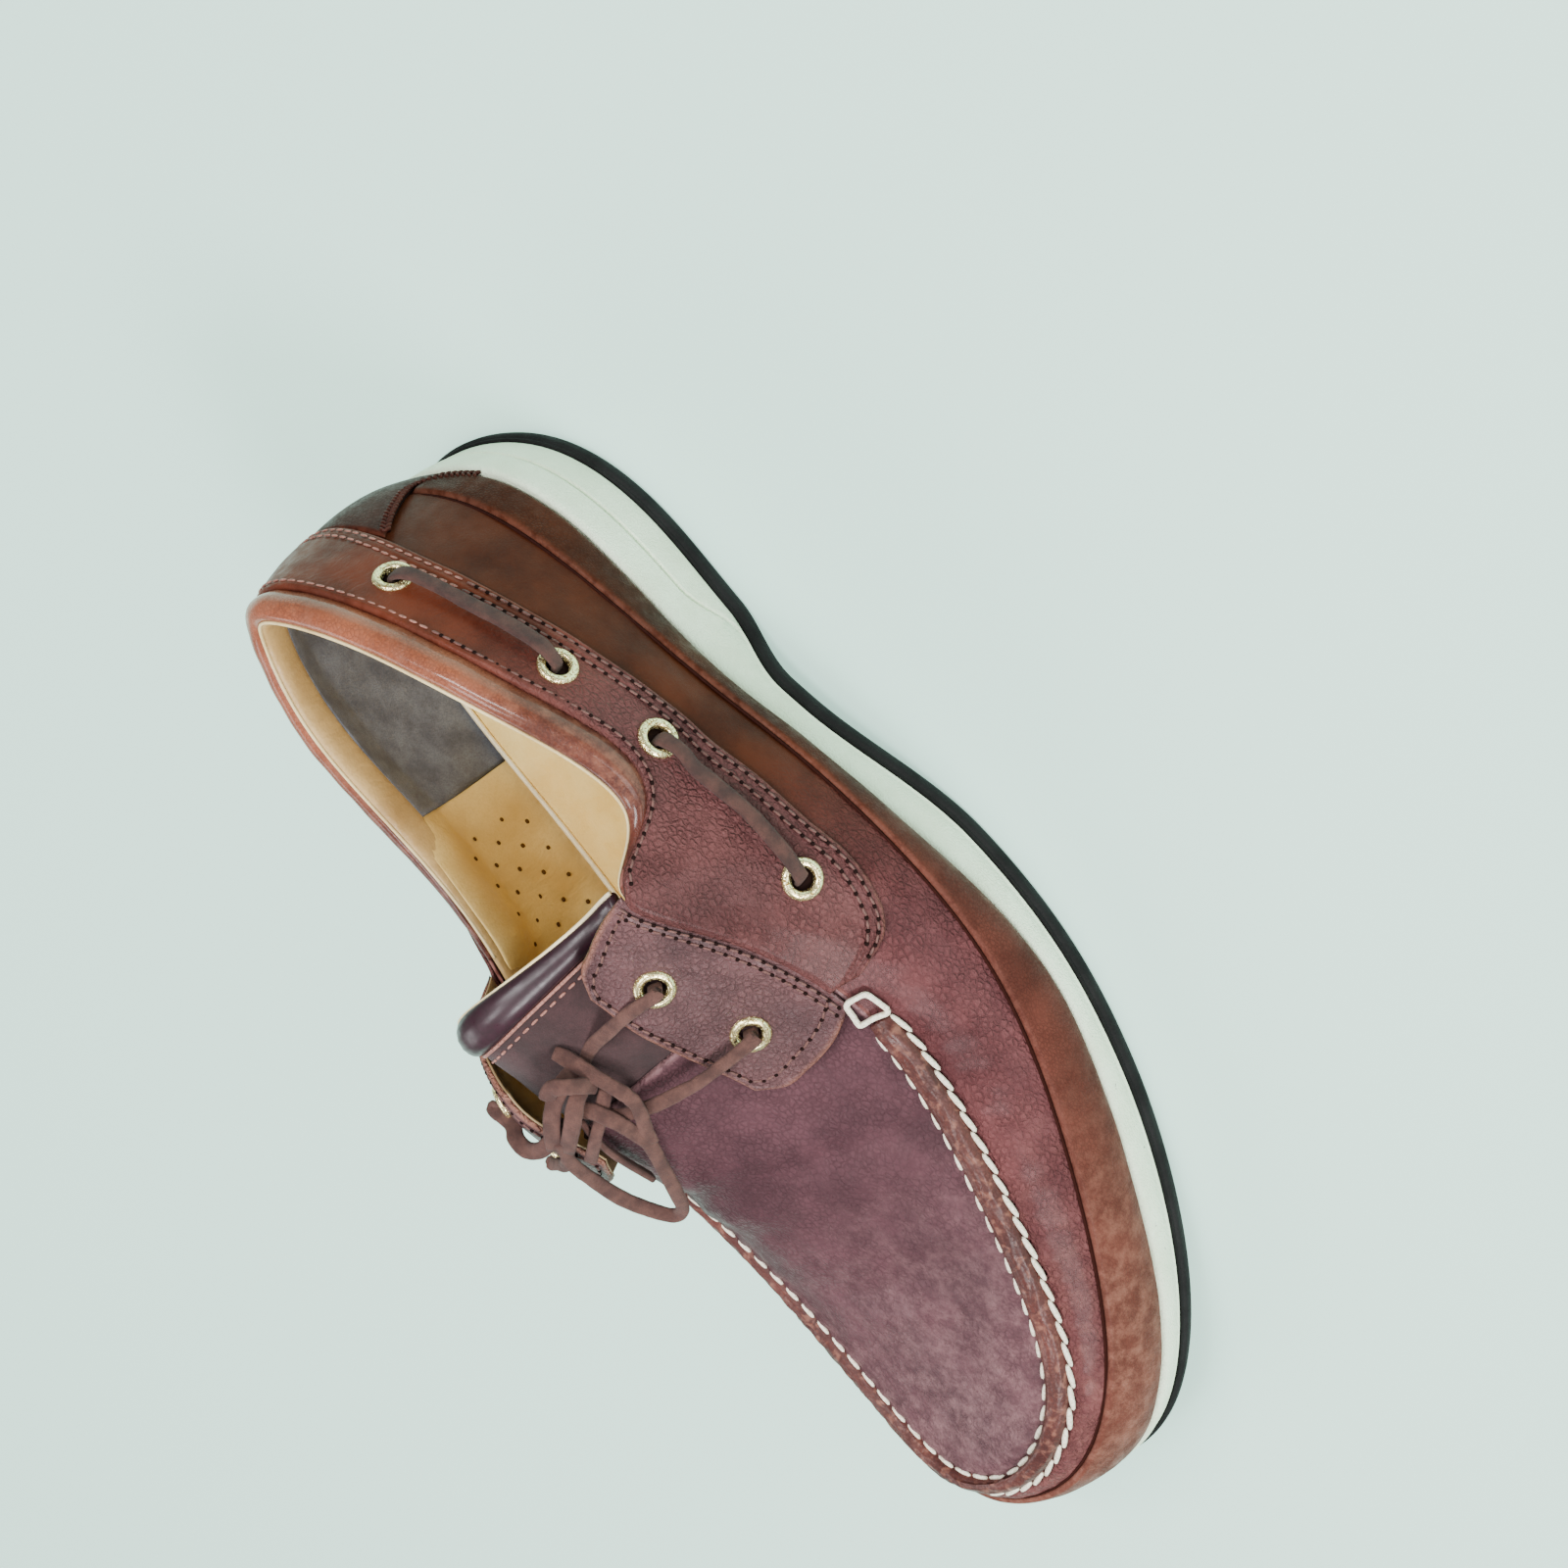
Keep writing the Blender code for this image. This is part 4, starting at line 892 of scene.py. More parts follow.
def lace_rings(route, facing, wide=LACE_WIDE, thick=LACE_THICK, seed=1, per_span=8, around=16):
    """Rings of a flat lace of uneven width along a smooth route.

    facing holds the directions that its flat side faces at the route's points, or one for all of
    them. per_span rings lie between two points, each of that many points around.
    """
    route = np.array(route, float)
    facing = np.broadcast_to(np.array(facing, float), route.shape)
    at = np.linspace(0.0, len(route) - 1.0, (len(route) - 1) * per_span + 1)
    line = open_spline(range(len(route)), route)(at)
    forward = unit(np.gradient(line, axis=0))
    normal = squared(open_spline(range(len(route)), facing)(at), forward)
    side = np.cross(forward, normal)
    angle = np.linspace(0.0, 2.0 * math.pi, around, endpoint=False)
    across = np.sign(np.cos(angle)) * np.abs(np.cos(angle)) ** 0.55
    high = np.sign(np.sin(angle)) * np.abs(np.sin(angle)) ** 0.7
    wander = np.random.default_rng(seed).normal(0.0, 1.0, len(at) + 8)
    wander = np.convolve(wander, np.ones(9) / 9.0, "valid") * 0.16
    reach = (wide / 2.0 * (1.0 + wander))[:, None, None]
    rings = line[:, None, :] + side[:, None, :] * across[None, :, None] * reach
    return rings + normal[:, None, :] * high[None, :, None] * thick / 2.0


def add_strand(name, route, facing, finish, slot=None, replaced=(), **shape):
    """A single lace, thread or bead, shaped as lace_rings says."""
    return add_sweep(name, [lace_rings(route, facing, **shape)], finish, replaced)


def add_cord(name, route, facing, node, seed):
    """A free stretch of the lace."""
    rings = lace_rings(route, facing, seed=seed)
    piece = add_sweep(name, [rings], RAWHIDE, (node,))


def add_knot():
    """The bow's knot: turns of lace pulled tight over each other, with the strands that feed it."""
    parts = [lace_rings(turn, TOWARDS_LIGHT, 4.0, 1.8, 3 + k, 6) for k, turn in enumerate(KNOT_TURNS)]
    for (side, k), rest in STRANDS.items():
        s, share = FLAP_EYELETS[side][k]
        start = [eyestay_point(side, s, share, EYESTAY_THICK + lift) for lift in (-1.2, 1.4, 2.8)]
        facing = [(0.6, 0.2, 0.5)] * 2 + [TOWARDS_LIGHT] * (len(rest) + 1)
        wide = 4.0 if (side, k) == ("inner", 0) else 3.4
        parts.append(lace_rings(start + list(rest), facing, wide, LACE_THICK, 10 + k, 7))
    parts.append(lace_rings(HANGING, TOWARDS_LIGHT, 3.4, 1.6, 7, 6))
    parts.append(lace_rings(FRAYED, TOWARDS_LIGHT, 3.6, 1.6, 8, 6))
    add_sweep("bow_knot", parts, RAWHIDE, ("lace_knot",))


def add_side_lace(side, pair):
    """A bar of lace, up out of one side eyelet and down into the next, sagging a little between."""
    (u1, h1), (u2, h2) = SIDE_EYELETS[side][2 * pair : 2 * pair + 2]
    share, rise = np.array(SIDE_BAR).T
    droop = -1.4 * np.sin(math.pi * share) * abs(u2 - u1) / 2.0
    u, height, lift = u1 + (u2 - u1) * share, h1 + (h2 - h1) * share + droop, STRIP_FACE + rise
    route = wall_at(u, height, lift)
    facing = wall_at(u, height, lift + 1.0) - route
    ahead = unit(route[4] - route[3])
    facing[:2] = -ahead * 0.9 + facing[1] * 0.1
    facing[-2:] = ahead * 0.9 + facing[-2] * 0.1
    number = f"{side}_{pair + 1}"
    add_strand(f"side_lace_{number}", route, facing, DARK_RAWHIDE, "rawhide", (f"lace_side_{number}",),
               wide=3.7, thick=1.6, seed=30 + pair)


add_knot()
add_cord("bow_loop", LOOP, TOWARDS_LIGHT, "lace_loop", 21)
add_cord("bow_end", LACE_END, (0.1, -0.5, 0.5), "lace_end", 22)
for each_side in SIDES:
    for each_pair in (0, 1):
        add_side_lace(each_side, each_pair)

# ---------------------------------------------------------------- leather pieces of the upper


def fold(x, middle, width):
    """A soft bump one high, width across."""
    return np.exp(-(((x - middle) / width) ** 2))


def ripple(points, scale, seed):
    """Smooth made-up unevenness from -1 to 1 over points in millimetres."""
    turn = np.random.default_rng(seed)
    total = np.zeros(points.shape[:-1])
    for k in range(5):
        way = unit(turn.normal(size=3)) / scale * (0.7 + 0.35 * k)
        total += np.sin(points @ way * 2.0 * math.pi + turn.uniform(0.0, 6.3)) / (1.0 + 0.4 * k)
    return total / 2.6


STITCH_PITCH = 5.5
SEAM_U = np.linspace(4.0, 16.0, 1201)
SEAM_AT = along_lengths(station(SEAM_U)[:, 3:6])
MOC_ENDS = (5.95, 14.45)
MOC_DIP = 4.8  # how far below the top line the wall's white stitches pull it in


def seam_phase(u):
    """How many stitches of the moccasin seam lie between section 4 and section u."""
    return np.interp(u, SEAM_U, SEAM_AT) / STITCH_PITCH


def on_seam(u):
    """1 along the moccasin seam, fading at its two ends."""
    start, end = [smooth_step(u, place - 0.25, place + 0.25) for place in MOC_ENDS]
    return start * (1.0 - end)


def pucker(u, distance):
    """Leather gathered by the seam's stitches, fading with distance from their row."""
    wave = np.cos(2.0 * math.pi * seam_phase(u))
    return 0.34 * wave * np.exp(-np.maximum(distance, 0.0) / 3.2) * on_seam(u)


ROUND_SHOE = np.concatenate([
    np.linspace(0.0, 5.5, 80, endpoint=False),
    np.linspace(5.5, 14.8, 330, endpoint=False),
    np.linspace(14.8, 20.0, 74, endpoint=False),
])


def wall_relief(u, share, edge):
    height = share * wall_length(u)
    below = wall_length(u) - height
    place = wall_point(u, height)
    x = place[..., 0]
    soft = 0.35 * ripple(place, 34.0, 3) + 0.14 * ripple(place, 13.0, 4)
    outer_folds = fold(x, 150.0, 5.0) * 0.7 + fold(x, 138.0, 4.0) * 0.5 + fold(x, 165.0, 6.0) * 0.35
    folds = -outer_folds * fold(below, 8.0, 9.0) * (0.5 + 0.5 * np.tanh(ripple(place, 20.0, 9)))
    dip = -1.1 * fold(below, MOC_DIP, 1.5) * on_seam(u)
    return (soft + folds + pucker(u, below - MOC_DIP) + dip) * smooth_step(below, 0.0, 2.5)


def make_wall():
    def place(u, share, lift):
        return wall_at(u, 1.0 + share * (wall_length(u) - collar_cut(u) - 1.0), lift)

    add_leaf("upper_wall", place, ROUND_SHOE, graded(34, 0.04), UPPER_THICK, WALL,
             ("upper",), closed=True, rounding=0.8, base=-UPPER_THICK, relief=wall_relief)


PLUG_START = 5.3125


def plug_relief(s, t, edge):
    place = span_point(s, t)
    x, y = place[..., 0], place[..., 1]
    slant = x - 0.18 * (y + 5.0)
    inner = 1.0 - smooth_step(y, -30.0, 25.0)
    folds = -0.95 * fold(slant, 148.0, 3.6) * (0.45 + 0.55 * inner)
    folds += 0.5 * fold(slant, 141.5, 4.0) + 0.55 * fold(slant, 155.5, 4.5)
    folds += -0.8 * fold(slant, 163.0, 3.4) * inner * 0.7
    folds += -0.9 * fold(slant, 184.0, 4.4) * fold(y, -8.0, 20.0)
    folds += 0.5 * fold(slant, 192.0, 5.0) * fold(y, -8.0, 22.0) + 0.35 * fold(slant, 176.0, 4.5)
    folds *= 0.75 + 0.5 * ripple(place, 24.0, 12)
    soft = 0.4 * ripple(place, 40.0, 14) + 0.15 * ripple(place, 15.0, 15)
    side_u = np.where(t < 0.5, s, 2 * TOE - s)
    near = np.minimum(t, 1.0 - t) * span_lengths(s)[..., -1]
    gathered = pucker(side_u, near - 2.3) * smooth_step(near, 0.0, 1.5)
    return (folds + soft) * smooth_step(near, 0.0, 7.0) + gathered


def make_plug():
    across = 0.5 - 0.5 * np.cos(np.linspace(0.0, math.pi, 90))
    near_tip = TOE - 0.4 * np.linspace(0.96, 0.0, 34) ** 1.6
    along = np.concatenate([np.linspace(PLUG_START, 9.6, 220), near_tip])
    add_leaf("vamp_plug", span_at, along, across, UPPER_THICK, PLUG, rounding=0.6,
             base=-UPPER_THICK, relief=plug_relief)


BAND_ENDS = (0.36, 19.72)


def following(start, *stretches):
    """Places from start along stretches that follow each other, each given as (end, count)."""
    places = [np.array([start])]
    for end, count in stretches:
        places.append(np.linspace(start, end, count)[1:])
        start = end
    return np.concatenate(places)


def make_band():
    def place(u, share, lift):
        return wall_at(u, 0.8 + share * (band_top(u) - 0.8), lift)

    def relief(u, share, edge):
        point = wall_point(u, share * band_top(u))
        return 0.12 * ripple(point, 26.0, 41) + 0.05 * ripple(point, 9.0, 42)

    around = following(BAND_ENDS[0], (5.5, 76), (14.5, 180), (BAND_ENDS[1], 76))
    # Its edges are rubbed paler: real edge wear, and along its top partly a painted highlight.
    add_leaf("mudguard", place, around, graded(12, 0.07), 1.45, BAND, ("mudguard_band",),
             base=0.15, relief=relief, worn=lambda u, share: np.full(u.shape, 0.25))
    # A thin dark strand along the band's top edge: painted shadow.
    around = around[::4]
    line, above = [wall_at(around, band_top(around) + 0.35, lift) for lift in (0.2, 1.2)]
    add_strand("mudguard_shadow_line", line, above - line, SHADOW_LINE, "band_leather", wide=0.8, thick=0.5, seed=99,
               per_span=3, around=8)


# The backstay's half width in sections by height: narrow-waisted, and flared along the sole
PATCH_HALF = keyed_spline((
    (0.0, 0.92), (1.2, 0.78), (2.6, 0.6), (5.0, 0.44), (9.0, 0.34), (13.0, 0.36), (18.0, 0.42),
    (24.0, 0.5), (30.0, 0.6), (34.0, 0.66),
))


def patch_edge(side, height):
    """The section at which the backstay ends."""
    return PATCH_HALF(height)[..., 0] * (1.0 if side == "outer" else -0.9)


STRIP_ENDS = (-5.45, 5.66)
STRIP_LOW = keyed_spline((
    (-5.45, 37.0), (-5.35, 31.5), (-5.2, 28.0), (-5.0, 26.5), (-4.0, 27.0), (-2.0, 28.0), (-1.0, 29.0),
    (0.0, 29.5), (1.0, 32.5), (2.0, 31.0), (3.0, 28.5), (4.0, 27.5), (4.52, 27.3), (5.0, 26.0),
    (5.21, 27.3), (5.38, 29.5), (5.5, 33.0), (5.6, 38.5), (5.66, 42.5),
))


def strip_low(u):
    """How far up the wall the strip's lower edge runs, by section."""
    return STRIP_LOW(u)[..., 0]


def strip_high(u):
    """The strip's top edge: under the collar's roll at the back, under the eyestay flaps in front."""
    back = 1.0 - past_collar(u, -1.2, 0.1)
    under_flap = smooth_step(np.abs(u), 3.95, 4.2)
    return wall_length(np.mod(u, ROUND)) - 0.6 - 7.6 * back + 1.8 * under_flap


def strip_at(u, height, lift=0.0):
    around = np.mod(u, ROUND)
    return skin_at(around, height - wall_length(around), lift)


PUNCHED_RADIUS = 2.7
PUNCH_LENGTH = 9.0


def punched(obj, matrices):
    """Cuts the eyelets' round holes through a piece."""
    radius = PUNCHED_RADIUS * MM
    shaped = bmesh.new()
    for matrix in matrices:
        bmesh.ops.create_cone(shaped, cap_ends=True, segments=28, radius1=radius, radius2=radius,
                              depth=PUNCH_LENGTH * MM, matrix=matrix)
    mesh = bpy.data.meshes.new("cutter")
    shaped.to_mesh(mesh)
    shaped.free()
    cutter = linked("cutter", mesh)
    cut = obj.modifiers.new("holes", "BOOLEAN")
    cut.operation = "DIFFERENCE"
    cut.solver = "EXACT"
    cut.object = cutter
    result = bpy.data.meshes.new_from_object(obj.evaluated_get(bpy.context.evaluated_depsgraph_get()))
    obj.modifiers.clear()
    obj.data = result
    bpy.data.objects.remove(cutter)


def frame_on(place, outward_point):
    axis = Vector(outward_point) - Vector(place)
    return Matrix.Translation(Vector(place) * MM) @ axis.to_track_quat("Z", "Y").to_matrix().to_4x4()


def side_eyelet_frames(side):
    lifts = (STRIP_FACE, STRIP_FACE + 1.0)
    return [frame_on(*[wall_at(u, h, lift) for lift in lifts]) for u, h in SIDE_EYELETS[side]]


def flap_eyelet_frames(side):
    lifts = (EYESTAY_THICK, EYESTAY_THICK + 1.0)
    places = FLAP_EYELETS[side]
    return [frame_on(*[eyestay_point(side, s, share, lift) for lift in lifts]) for s, share in places]


def make_strip():
    def place(u, share, lift):
        return strip_at(u, strip_low(u) + (strip_high(u) - strip_low(u)) * share, lift)

    def relief(u, share, edge):
        up = share * (strip_high(u) - strip_low(u))
        point = wall_point(u, strip_low(u) + up)
        channel = -0.35 * fold(up, 1.9, 0.7) - 0.35 * fold(up, 4.4, 0.7) + 0.15 * fold(up, 3.1, 0.9)
        return channel + 0.3 * ripple(point, 30.0, 51) + 0.1 * ripple(point, 11.0, 52)

    along = following(STRIP_ENDS[0], (-5.0, 24), (5.0, 220), (STRIP_ENDS[1], 34))
    piece = add_leaf("lace_tunnel_strip", place, along, graded(26, 0.07), STRIP_FACE - STRIP_BASE, STRIP,
                     ("lace_strip",), base=STRIP_BASE, relief=relief,
                     worn=lambda u, share: 0.75 - 0.5 * smooth_step(share, 0.4, 0.9))
    punched(piece, side_eyelet_frames("outer") + side_eyelet_frames("inner"))


def make_heel_patch():
    def place(across, share, lift):
        height = 0.8 + (strip_low(0.0) + 0.2) * share
        start, end = patch_edge("inner", height), patch_edge("outer", height)
        return wall_at(start + (end - start) * across, height, lift)

    def thick(across, share):
        swell = np.sin(math.pi * np.clip(across, 0.0, 1.0)) ** 0.8
        return 1.2 + 1.6 * swell * np.sin(math.pi * np.clip(share, 0.0, 1.0)) ** 0.6

    add_leaf("backstay", place, graded(40, 0.05), graded(34, 0.06), thick, PATCH,
             ("heel_patch",), rounding=1.0, base=0.1)


# Sections of the collar's roll and the lining turned over it: up from the top line, and outward
COLLAR_SECTION = (
    (-12.0, -0.8), (-9.5, -0.1), (-7.2, 0.9), (-4.4, 1.9), (-1.8, 1.3), (-0.1, -0.5), (-0.5, -2.5),
    (-3.0, -3.9), (-7.0, -4.3), (-11.0, -3.8), (-12.0, -2.6),
)
RIM_SECTION = ((-0.3, -2.5), (-0.9, -3.3), (-2.2, -4.1), (-4.2, -4.6), (-7.0, -4.8), (-9.5, -4.4))


def make_collar():
    """The padded roll, drawn thin at its two ends."""
    steps = 36
    section = closed_spline(COLLAR_SECTION)(np.linspace(0.0, len(COLLAR_SECTION), steps, endpoint=False))
    shown = smooth_step(section[:, 0], -11.5, -7.0)
    rings = []
    for u in np.linspace(*COLLAR_ENDS, 250):
        thin = float(past_collar(u, -1.2, 0.0))
        out = section[:, 1] * (1.0 - 0.55 * thin) - 0.5 * thin
        up = section[:, 0] * (1.0 - 0.35 * thin)
        place = wall_point(u, wall_length(u))[None, :]
        waves = 0.13 * ripple(place, 9.0, 61) + 0.2 * ripple(place, 28.0, 62)
        rings.append(wall_at(np.full(steps, u), wall_length(u) + up, out + waves * shown))
    piece = add_sweep("collar_roll", [np.array(rings)], ROLL, ("collar",))


def make_topline():
    """The tan leather that turns over the collar's inner side, and its bright edge: partly a real pale edge,
    partly painted highlight.
    """
    last = len(RIM_SECTION) - 1.0
    profile = open_spline(range(len(RIM_SECTION)), RIM_SECTION)

    def place(u, share, lift):
        rows = profile(share * last)
        thin = past_collar(u, -1.2, 0.0)
        out = rows[..., 1] * (1.0 - 0.4 * thin) - 0.3 * thin
        return wall_at(u, wall_length(u) + rows[..., 0] * (1.0 - 0.35 * thin), out - lift)

    around = np.linspace(COLLAR_ENDS[0] - 0.45, COLLAR_ENDS[1] + 0.42, 240)
    add_leaf("topline_lining", place, around, graded(18, 0.06), 0.5, RIM_TAN, rounding=0.5)
    # A pale strand along the lining's edge: partly its real pale edge, partly painted highlight.
    crest = [edge_line(u) for u in np.linspace(COLLAR_ENDS[0], 5.2, 260)[::3]]
    add_strand("topline_edge_and_highlight", crest, UP, TOPLINE_EDGE_AND_HIGHLIGHT, "tan_lining", wide=0.75, thick=0.75, seed=97,
               per_span=3, around=10)


def edge_line(u):
    """Where the bright edge of the lining runs: inside the collar's crest, then inside the wall's."""
    past = float(past_collar(u, -1.2, 0.3))
    return wall_at(u, wall_length(u) - 0.1 - 0.4 * past, -2.45 + 0.1 * past)


def on_flap(side):
    """The surface of an eyestay flap, by the share of the way to its free edge and across it."""
    edges = keyed_spline(EYESTAY_EDGES[side])

    def place(share, across, lift=0.0):
        ends = edges(share)
        return eyestay_point(side, ends[..., 0] + (ends[..., 1] - ends[..., 0]) * across, share, lift)

    return place


def make_eyestay(side):
    place = on_flap(side)

    def relief(share, across, edge):
        point = place(share, across)
        channel = -0.3 * fold(edge, 2.1, 0.6) - 0.7 * (1.0 - smooth_step(share, 0.0, 0.14))
        return channel + 0.2 * ripple(point, 22.0, 71) + 0.08 * ripple(point, 9.0, 72)

    def worn(share, across):
        return smooth_step(share, 0.02, 0.2)

    fine, coarse = graded(44, 0.05), graded(24, 0.05)
    flap = add_leaf(f"eyestay_flap_{side}", place, fine, fine, EYESTAY_THICK - 0.5, FLAP,
                    (f"eyestay_{side}",), base=0.5, relief=relief, worn=worn)
    punched(flap, flap_eyelet_frames(side))
    backing = add_leaf(f"eyestay_lining_{side}", place, 0.02 + coarse * 0.984, coarse, 0.55, FLAP_TAN,
                       rounding=0.3, base=-0.1)
    punched(backing, flap_eyelet_frames(side))


# The tongue from its foot to its top: outer and inner section, rise, lean, and depth under its arch
TONGUE = (
    (5.75, 5.65, 16.5, 1.0, 5.0),
    (5.35, 5.35, 20.5, 0.9, 5.0),
    (5.00, 5.05, 22.5, 0.8, 4.4),
    (4.60, 4.75, 19.0, 1.3, 3.6),
    (4.25, 4.50, 15.5, 2.1, 2.2),
    (4.05, 4.35, 14.0, 2.6, 1.0),
    (3.92, 4.28, 13.0, 2.7, 1.5),
)
TONGUE_EDGES = (0.15, 0.86)
ROLL_AT = 5.1  # the row round which the padded roll lies
ROLL_REACH = 0.88
ROLL_STEPS = 28
tongue_rows = open_spline(range(len(TONGUE)), TONGUE)


def tongue_point(k, t):
    k, t = spread(k, t)
    rows = tongue_rows(k)
    outer = station(rows[..., 0])[..., 3:6]
    inner = station(2 * TOE - rows[..., 1])[..., 3:6]
    return arched(outer, inner, rows[..., 2:3], rows[..., 3:4], t) - UP * rows[..., 4:5]


def tongue_at(k, t, lift):
    return lifted(tongue_point, k, t, lift, 0.05, 0.02)


def make_tongue():
    """The tongue, the padded roll along its top, and the roll's piping, edge strip and stitches."""
    along, across = graded(50, 0.04) * 4.45, graded(40, 0.04) * 0.75 + 0.15
    add_leaf("tongue_body", tongue_at, along, across, 1.9, TONGUE_BODY, ("tongue",),
             rounding=0.9, base=-2.0)
    angle = np.linspace(0.0, 2.0 * math.pi, ROLL_STEPS, endpoint=False)
    rings, rim, strip = [], [], []
    for t in np.linspace(*TONGUE_EDGES, 70):
        plump = 0.4 + 0.6 * float(smooth_step(t, 0.13, 0.24) * (1.0 - smooth_step(t, 0.66, 0.88)))
        lift = -2.5 + 2.7 * plump * np.sin(angle)
        rings.append(tongue_at(ROLL_AT - ROLL_REACH * np.cos(angle), np.full(ROLL_STEPS, t), lift))
        rim.append(tongue_at(5.93, t, -2.5 - 1.7 * plump))
        strip.append(tongue_at(4.05, t, -2.3))
    pad = add_sweep("tongue_roll", [np.array(rings)], TONGUE_PAD)
    add_strand("tongue_piping", rim[::3], (0.0, 0.2, 1.0), PIPING, "tan_lining", wide=1.0, thick=1.2,
               seed=81, per_span=3, around=10)
    add_strand("tongue_edge_strip", strip[::3], (0.2, 0.1, 1.0), PINK_THREAD, "brown_leather", wide=0.9,
               thick=0.7, seed=82, per_span=3, around=10)
    row = np.linspace(TONGUE_EDGES[0] + 0.03, TONGUE_EDGES[1] - 0.03, 60)
    stitch_row("tongue_stitches", tongue_at, np.full(60, 3.72), row, -2.1, 2.9, (2.1, 0.7, 0.6), PINK_THREAD)


# The moccasin seam's roll: in from the top line, and off the leather
MOC_SECTION = (
    (-4.3, -0.3), (-3.9, 0.7), (-3.0, 1.75), (-1.6, 2.3), (-0.4, 2.35), (0.7, 1.8), (1.5, 1.0), (1.9, -0.3),
)


def make_moc_seam():
    """The moccasin seam's raised roll, wrinkled lengthwise and nipped in by each stitch."""
    share = np.linspace(0.0, 1.0, 22)
    d, high = open_spline(range(len(MOC_SECTION)), MOC_SECTION)(share * (len(MOC_SECTION) - 1.0)).T
    u = np.linspace(*MOC_ENDS, 620)[:, None]
    phase = seam_phase(u)
    nip = -0.1 * np.cos(2.0 * math.pi * phase)
    wander = 0.5 * np.sin(phase * 0.9) + 0.4 * np.sin(phase * 2.3 + 1.0)
    lines = 0.13 * np.sin(share * 30.0 + wander * 4.0) + 0.08 * np.sin(share * 55.0 - wander * 7.0)
    start, end = MOC_ENDS
    full = smooth_step(u, start, start + 0.08) * (1.0 - smooth_step(u, end - 0.08, end))
    lift = (high + (lines + nip * 0.6) * np.sin(math.pi * share)) * (0.35 + 0.65 * full) + 0.1
    rings = np.concatenate([skin_at(u, d, lift), skin_at(u, d, np.full(lift.shape, -0.6))[:, ::-1]], axis=1)
    add_sweep("moccasin_roll", [rings], SEAM_ROLL, ("moc_seam",))


make_wall()
make_plug()
make_band()
make_strip()
make_heel_patch()
make_collar()
make_topline()
for each_side in SIDES:
    make_eyestay(each_side)
make_tongue()
make_moc_seam()

# ---------------------------------------------------------------- linings and footbed

LINING_SEAM = 2.83  # the section where the heel's lining meets the quarters'
LINING_TOP = 1.6
LINING_SHORT = 3.0  # how much shorter than the wall the lining is
# Depth below the top line, and how far inside the wall the lining lies there behind the collar's roll
LINING_BELOW = (0.0, 1.6, 3.0, 5.5, 8.0, 11.0, 14.0, 19.0)
LINING_INWARD = (2.6, 3.6, 4.1, 4.5, 4.6, 4.3, 3.6, 2.4)
LINING_CLEAR = 1.9


def lining_place(u, share, lift):
    """The inside of the shoe, from under the collar's roll down the wall to the footbed."""
    padded = 1.0 - past_collar(u, -0.05, 0.35)
    below = LINING_TOP + share * (wall_length(u) - LINING_SHORT)
    roll = np.interp(below, LINING_BELOW, LINING_INWARD)
    inward = LINING_CLEAR + (roll - LINING_CLEAR) * padded
    return wall_at(u, wall_length(u) - below, -inward + lift)


def lining_share(u, below):
    """The share of the way down the lining at which it is that far below the top line."""
    return (below - LINING_TOP) / (wall_length(u) - LINING_SHORT)


def lining_relief(u, share, edge):
    place = lining_place(u, share, 0.0)
    heel = fold(np.minimum(np.mod(u, ROUND), ROUND - np.mod(u, ROUND)), 0.0, 2.6)
    sag = np.sin(u * 9.0 + 2.0 * np.sin(share * 5.0)) * 0.6 + np.sin(u * 5.0 - share * 7.0) * 0.5
    return 0.3 * ripple(place, 30.0, 91) + heel * sag * np.sin(math.pi * np.clip(share, 0.0, 1.0))


def make_lining(name, start, end, count, finish, top=0.0, shift=0.0):
    """A panel of lining between two sections, starting top below the others and shifted outward."""

    def place(u, share, lift):
        first = top / (wall_length(u) - LINING_SHORT)
        return lining_place(u, first + (1.0 - first) * share, shift - lift)

    add_leaf(name, place, np.linspace(start, end, count), graded(36, 0.03), 0.5, finish,
             rounding=0.4, relief=lining_relief)


FOOTBED_INSET = 2.7
FOOTBED_THICK = 2.6


def footbed_point(s, t):
    s, t = spread(s, t)
    outer = station(s)[..., 0:3] - outward(s) * FOOTBED_INSET
    inner = station(-s)[..., 0:3] - outward(-s) * FOOTBED_INSET
    near = np.minimum(t, 1.0 - t) * np.linalg.norm(inner - outer, axis=-1)
    cup = 1.6 * (1.0 - smooth_step(near, 0.0, 12.0)) - 0.8 * fold(outer[..., 0], 5.0, 24.0)
    return outer + (inner - outer) * t[..., None] + UP * (INSOLE_THICK - 0.4 + cup)[..., None]


def make_footbed():
    def place(s, t, lift):
        return footbed_point(s, t) + UP * np.asarray(lift, float)[..., None]

    def relief(s, t, edge):
        return 0.3 * ripple(footbed_point(s, t), 40.0, 95)

    along = TOE * (0.5 - 0.5 * np.cos(np.linspace(0.02, math.pi - 0.02, 150)))
    add_leaf("footbed", place, along, graded(40, 0.03), FOOTBED_THICK, FOOTBED, ("insole",),
             rounding=1.0, base=-FOOTBED_THICK, relief=relief)
    s = np.linspace(0.15, 9.8, 90)
    ring = np.concatenate([footbed_point(s, 0.005), footbed_point(s[::-1], 0.995)]) + UP * 0.4
    add_strand("footbed_binding", ring, UP, PIPING, "tan_lining", wide=1.2, thick=1.2, seed=96, per_span=2,
               around=8)


HOLE_ROWS = 5
HOLE_GAP = 8.0
HOLE_ROW_GAP = 6.0
HOLES_FROM = 11.0


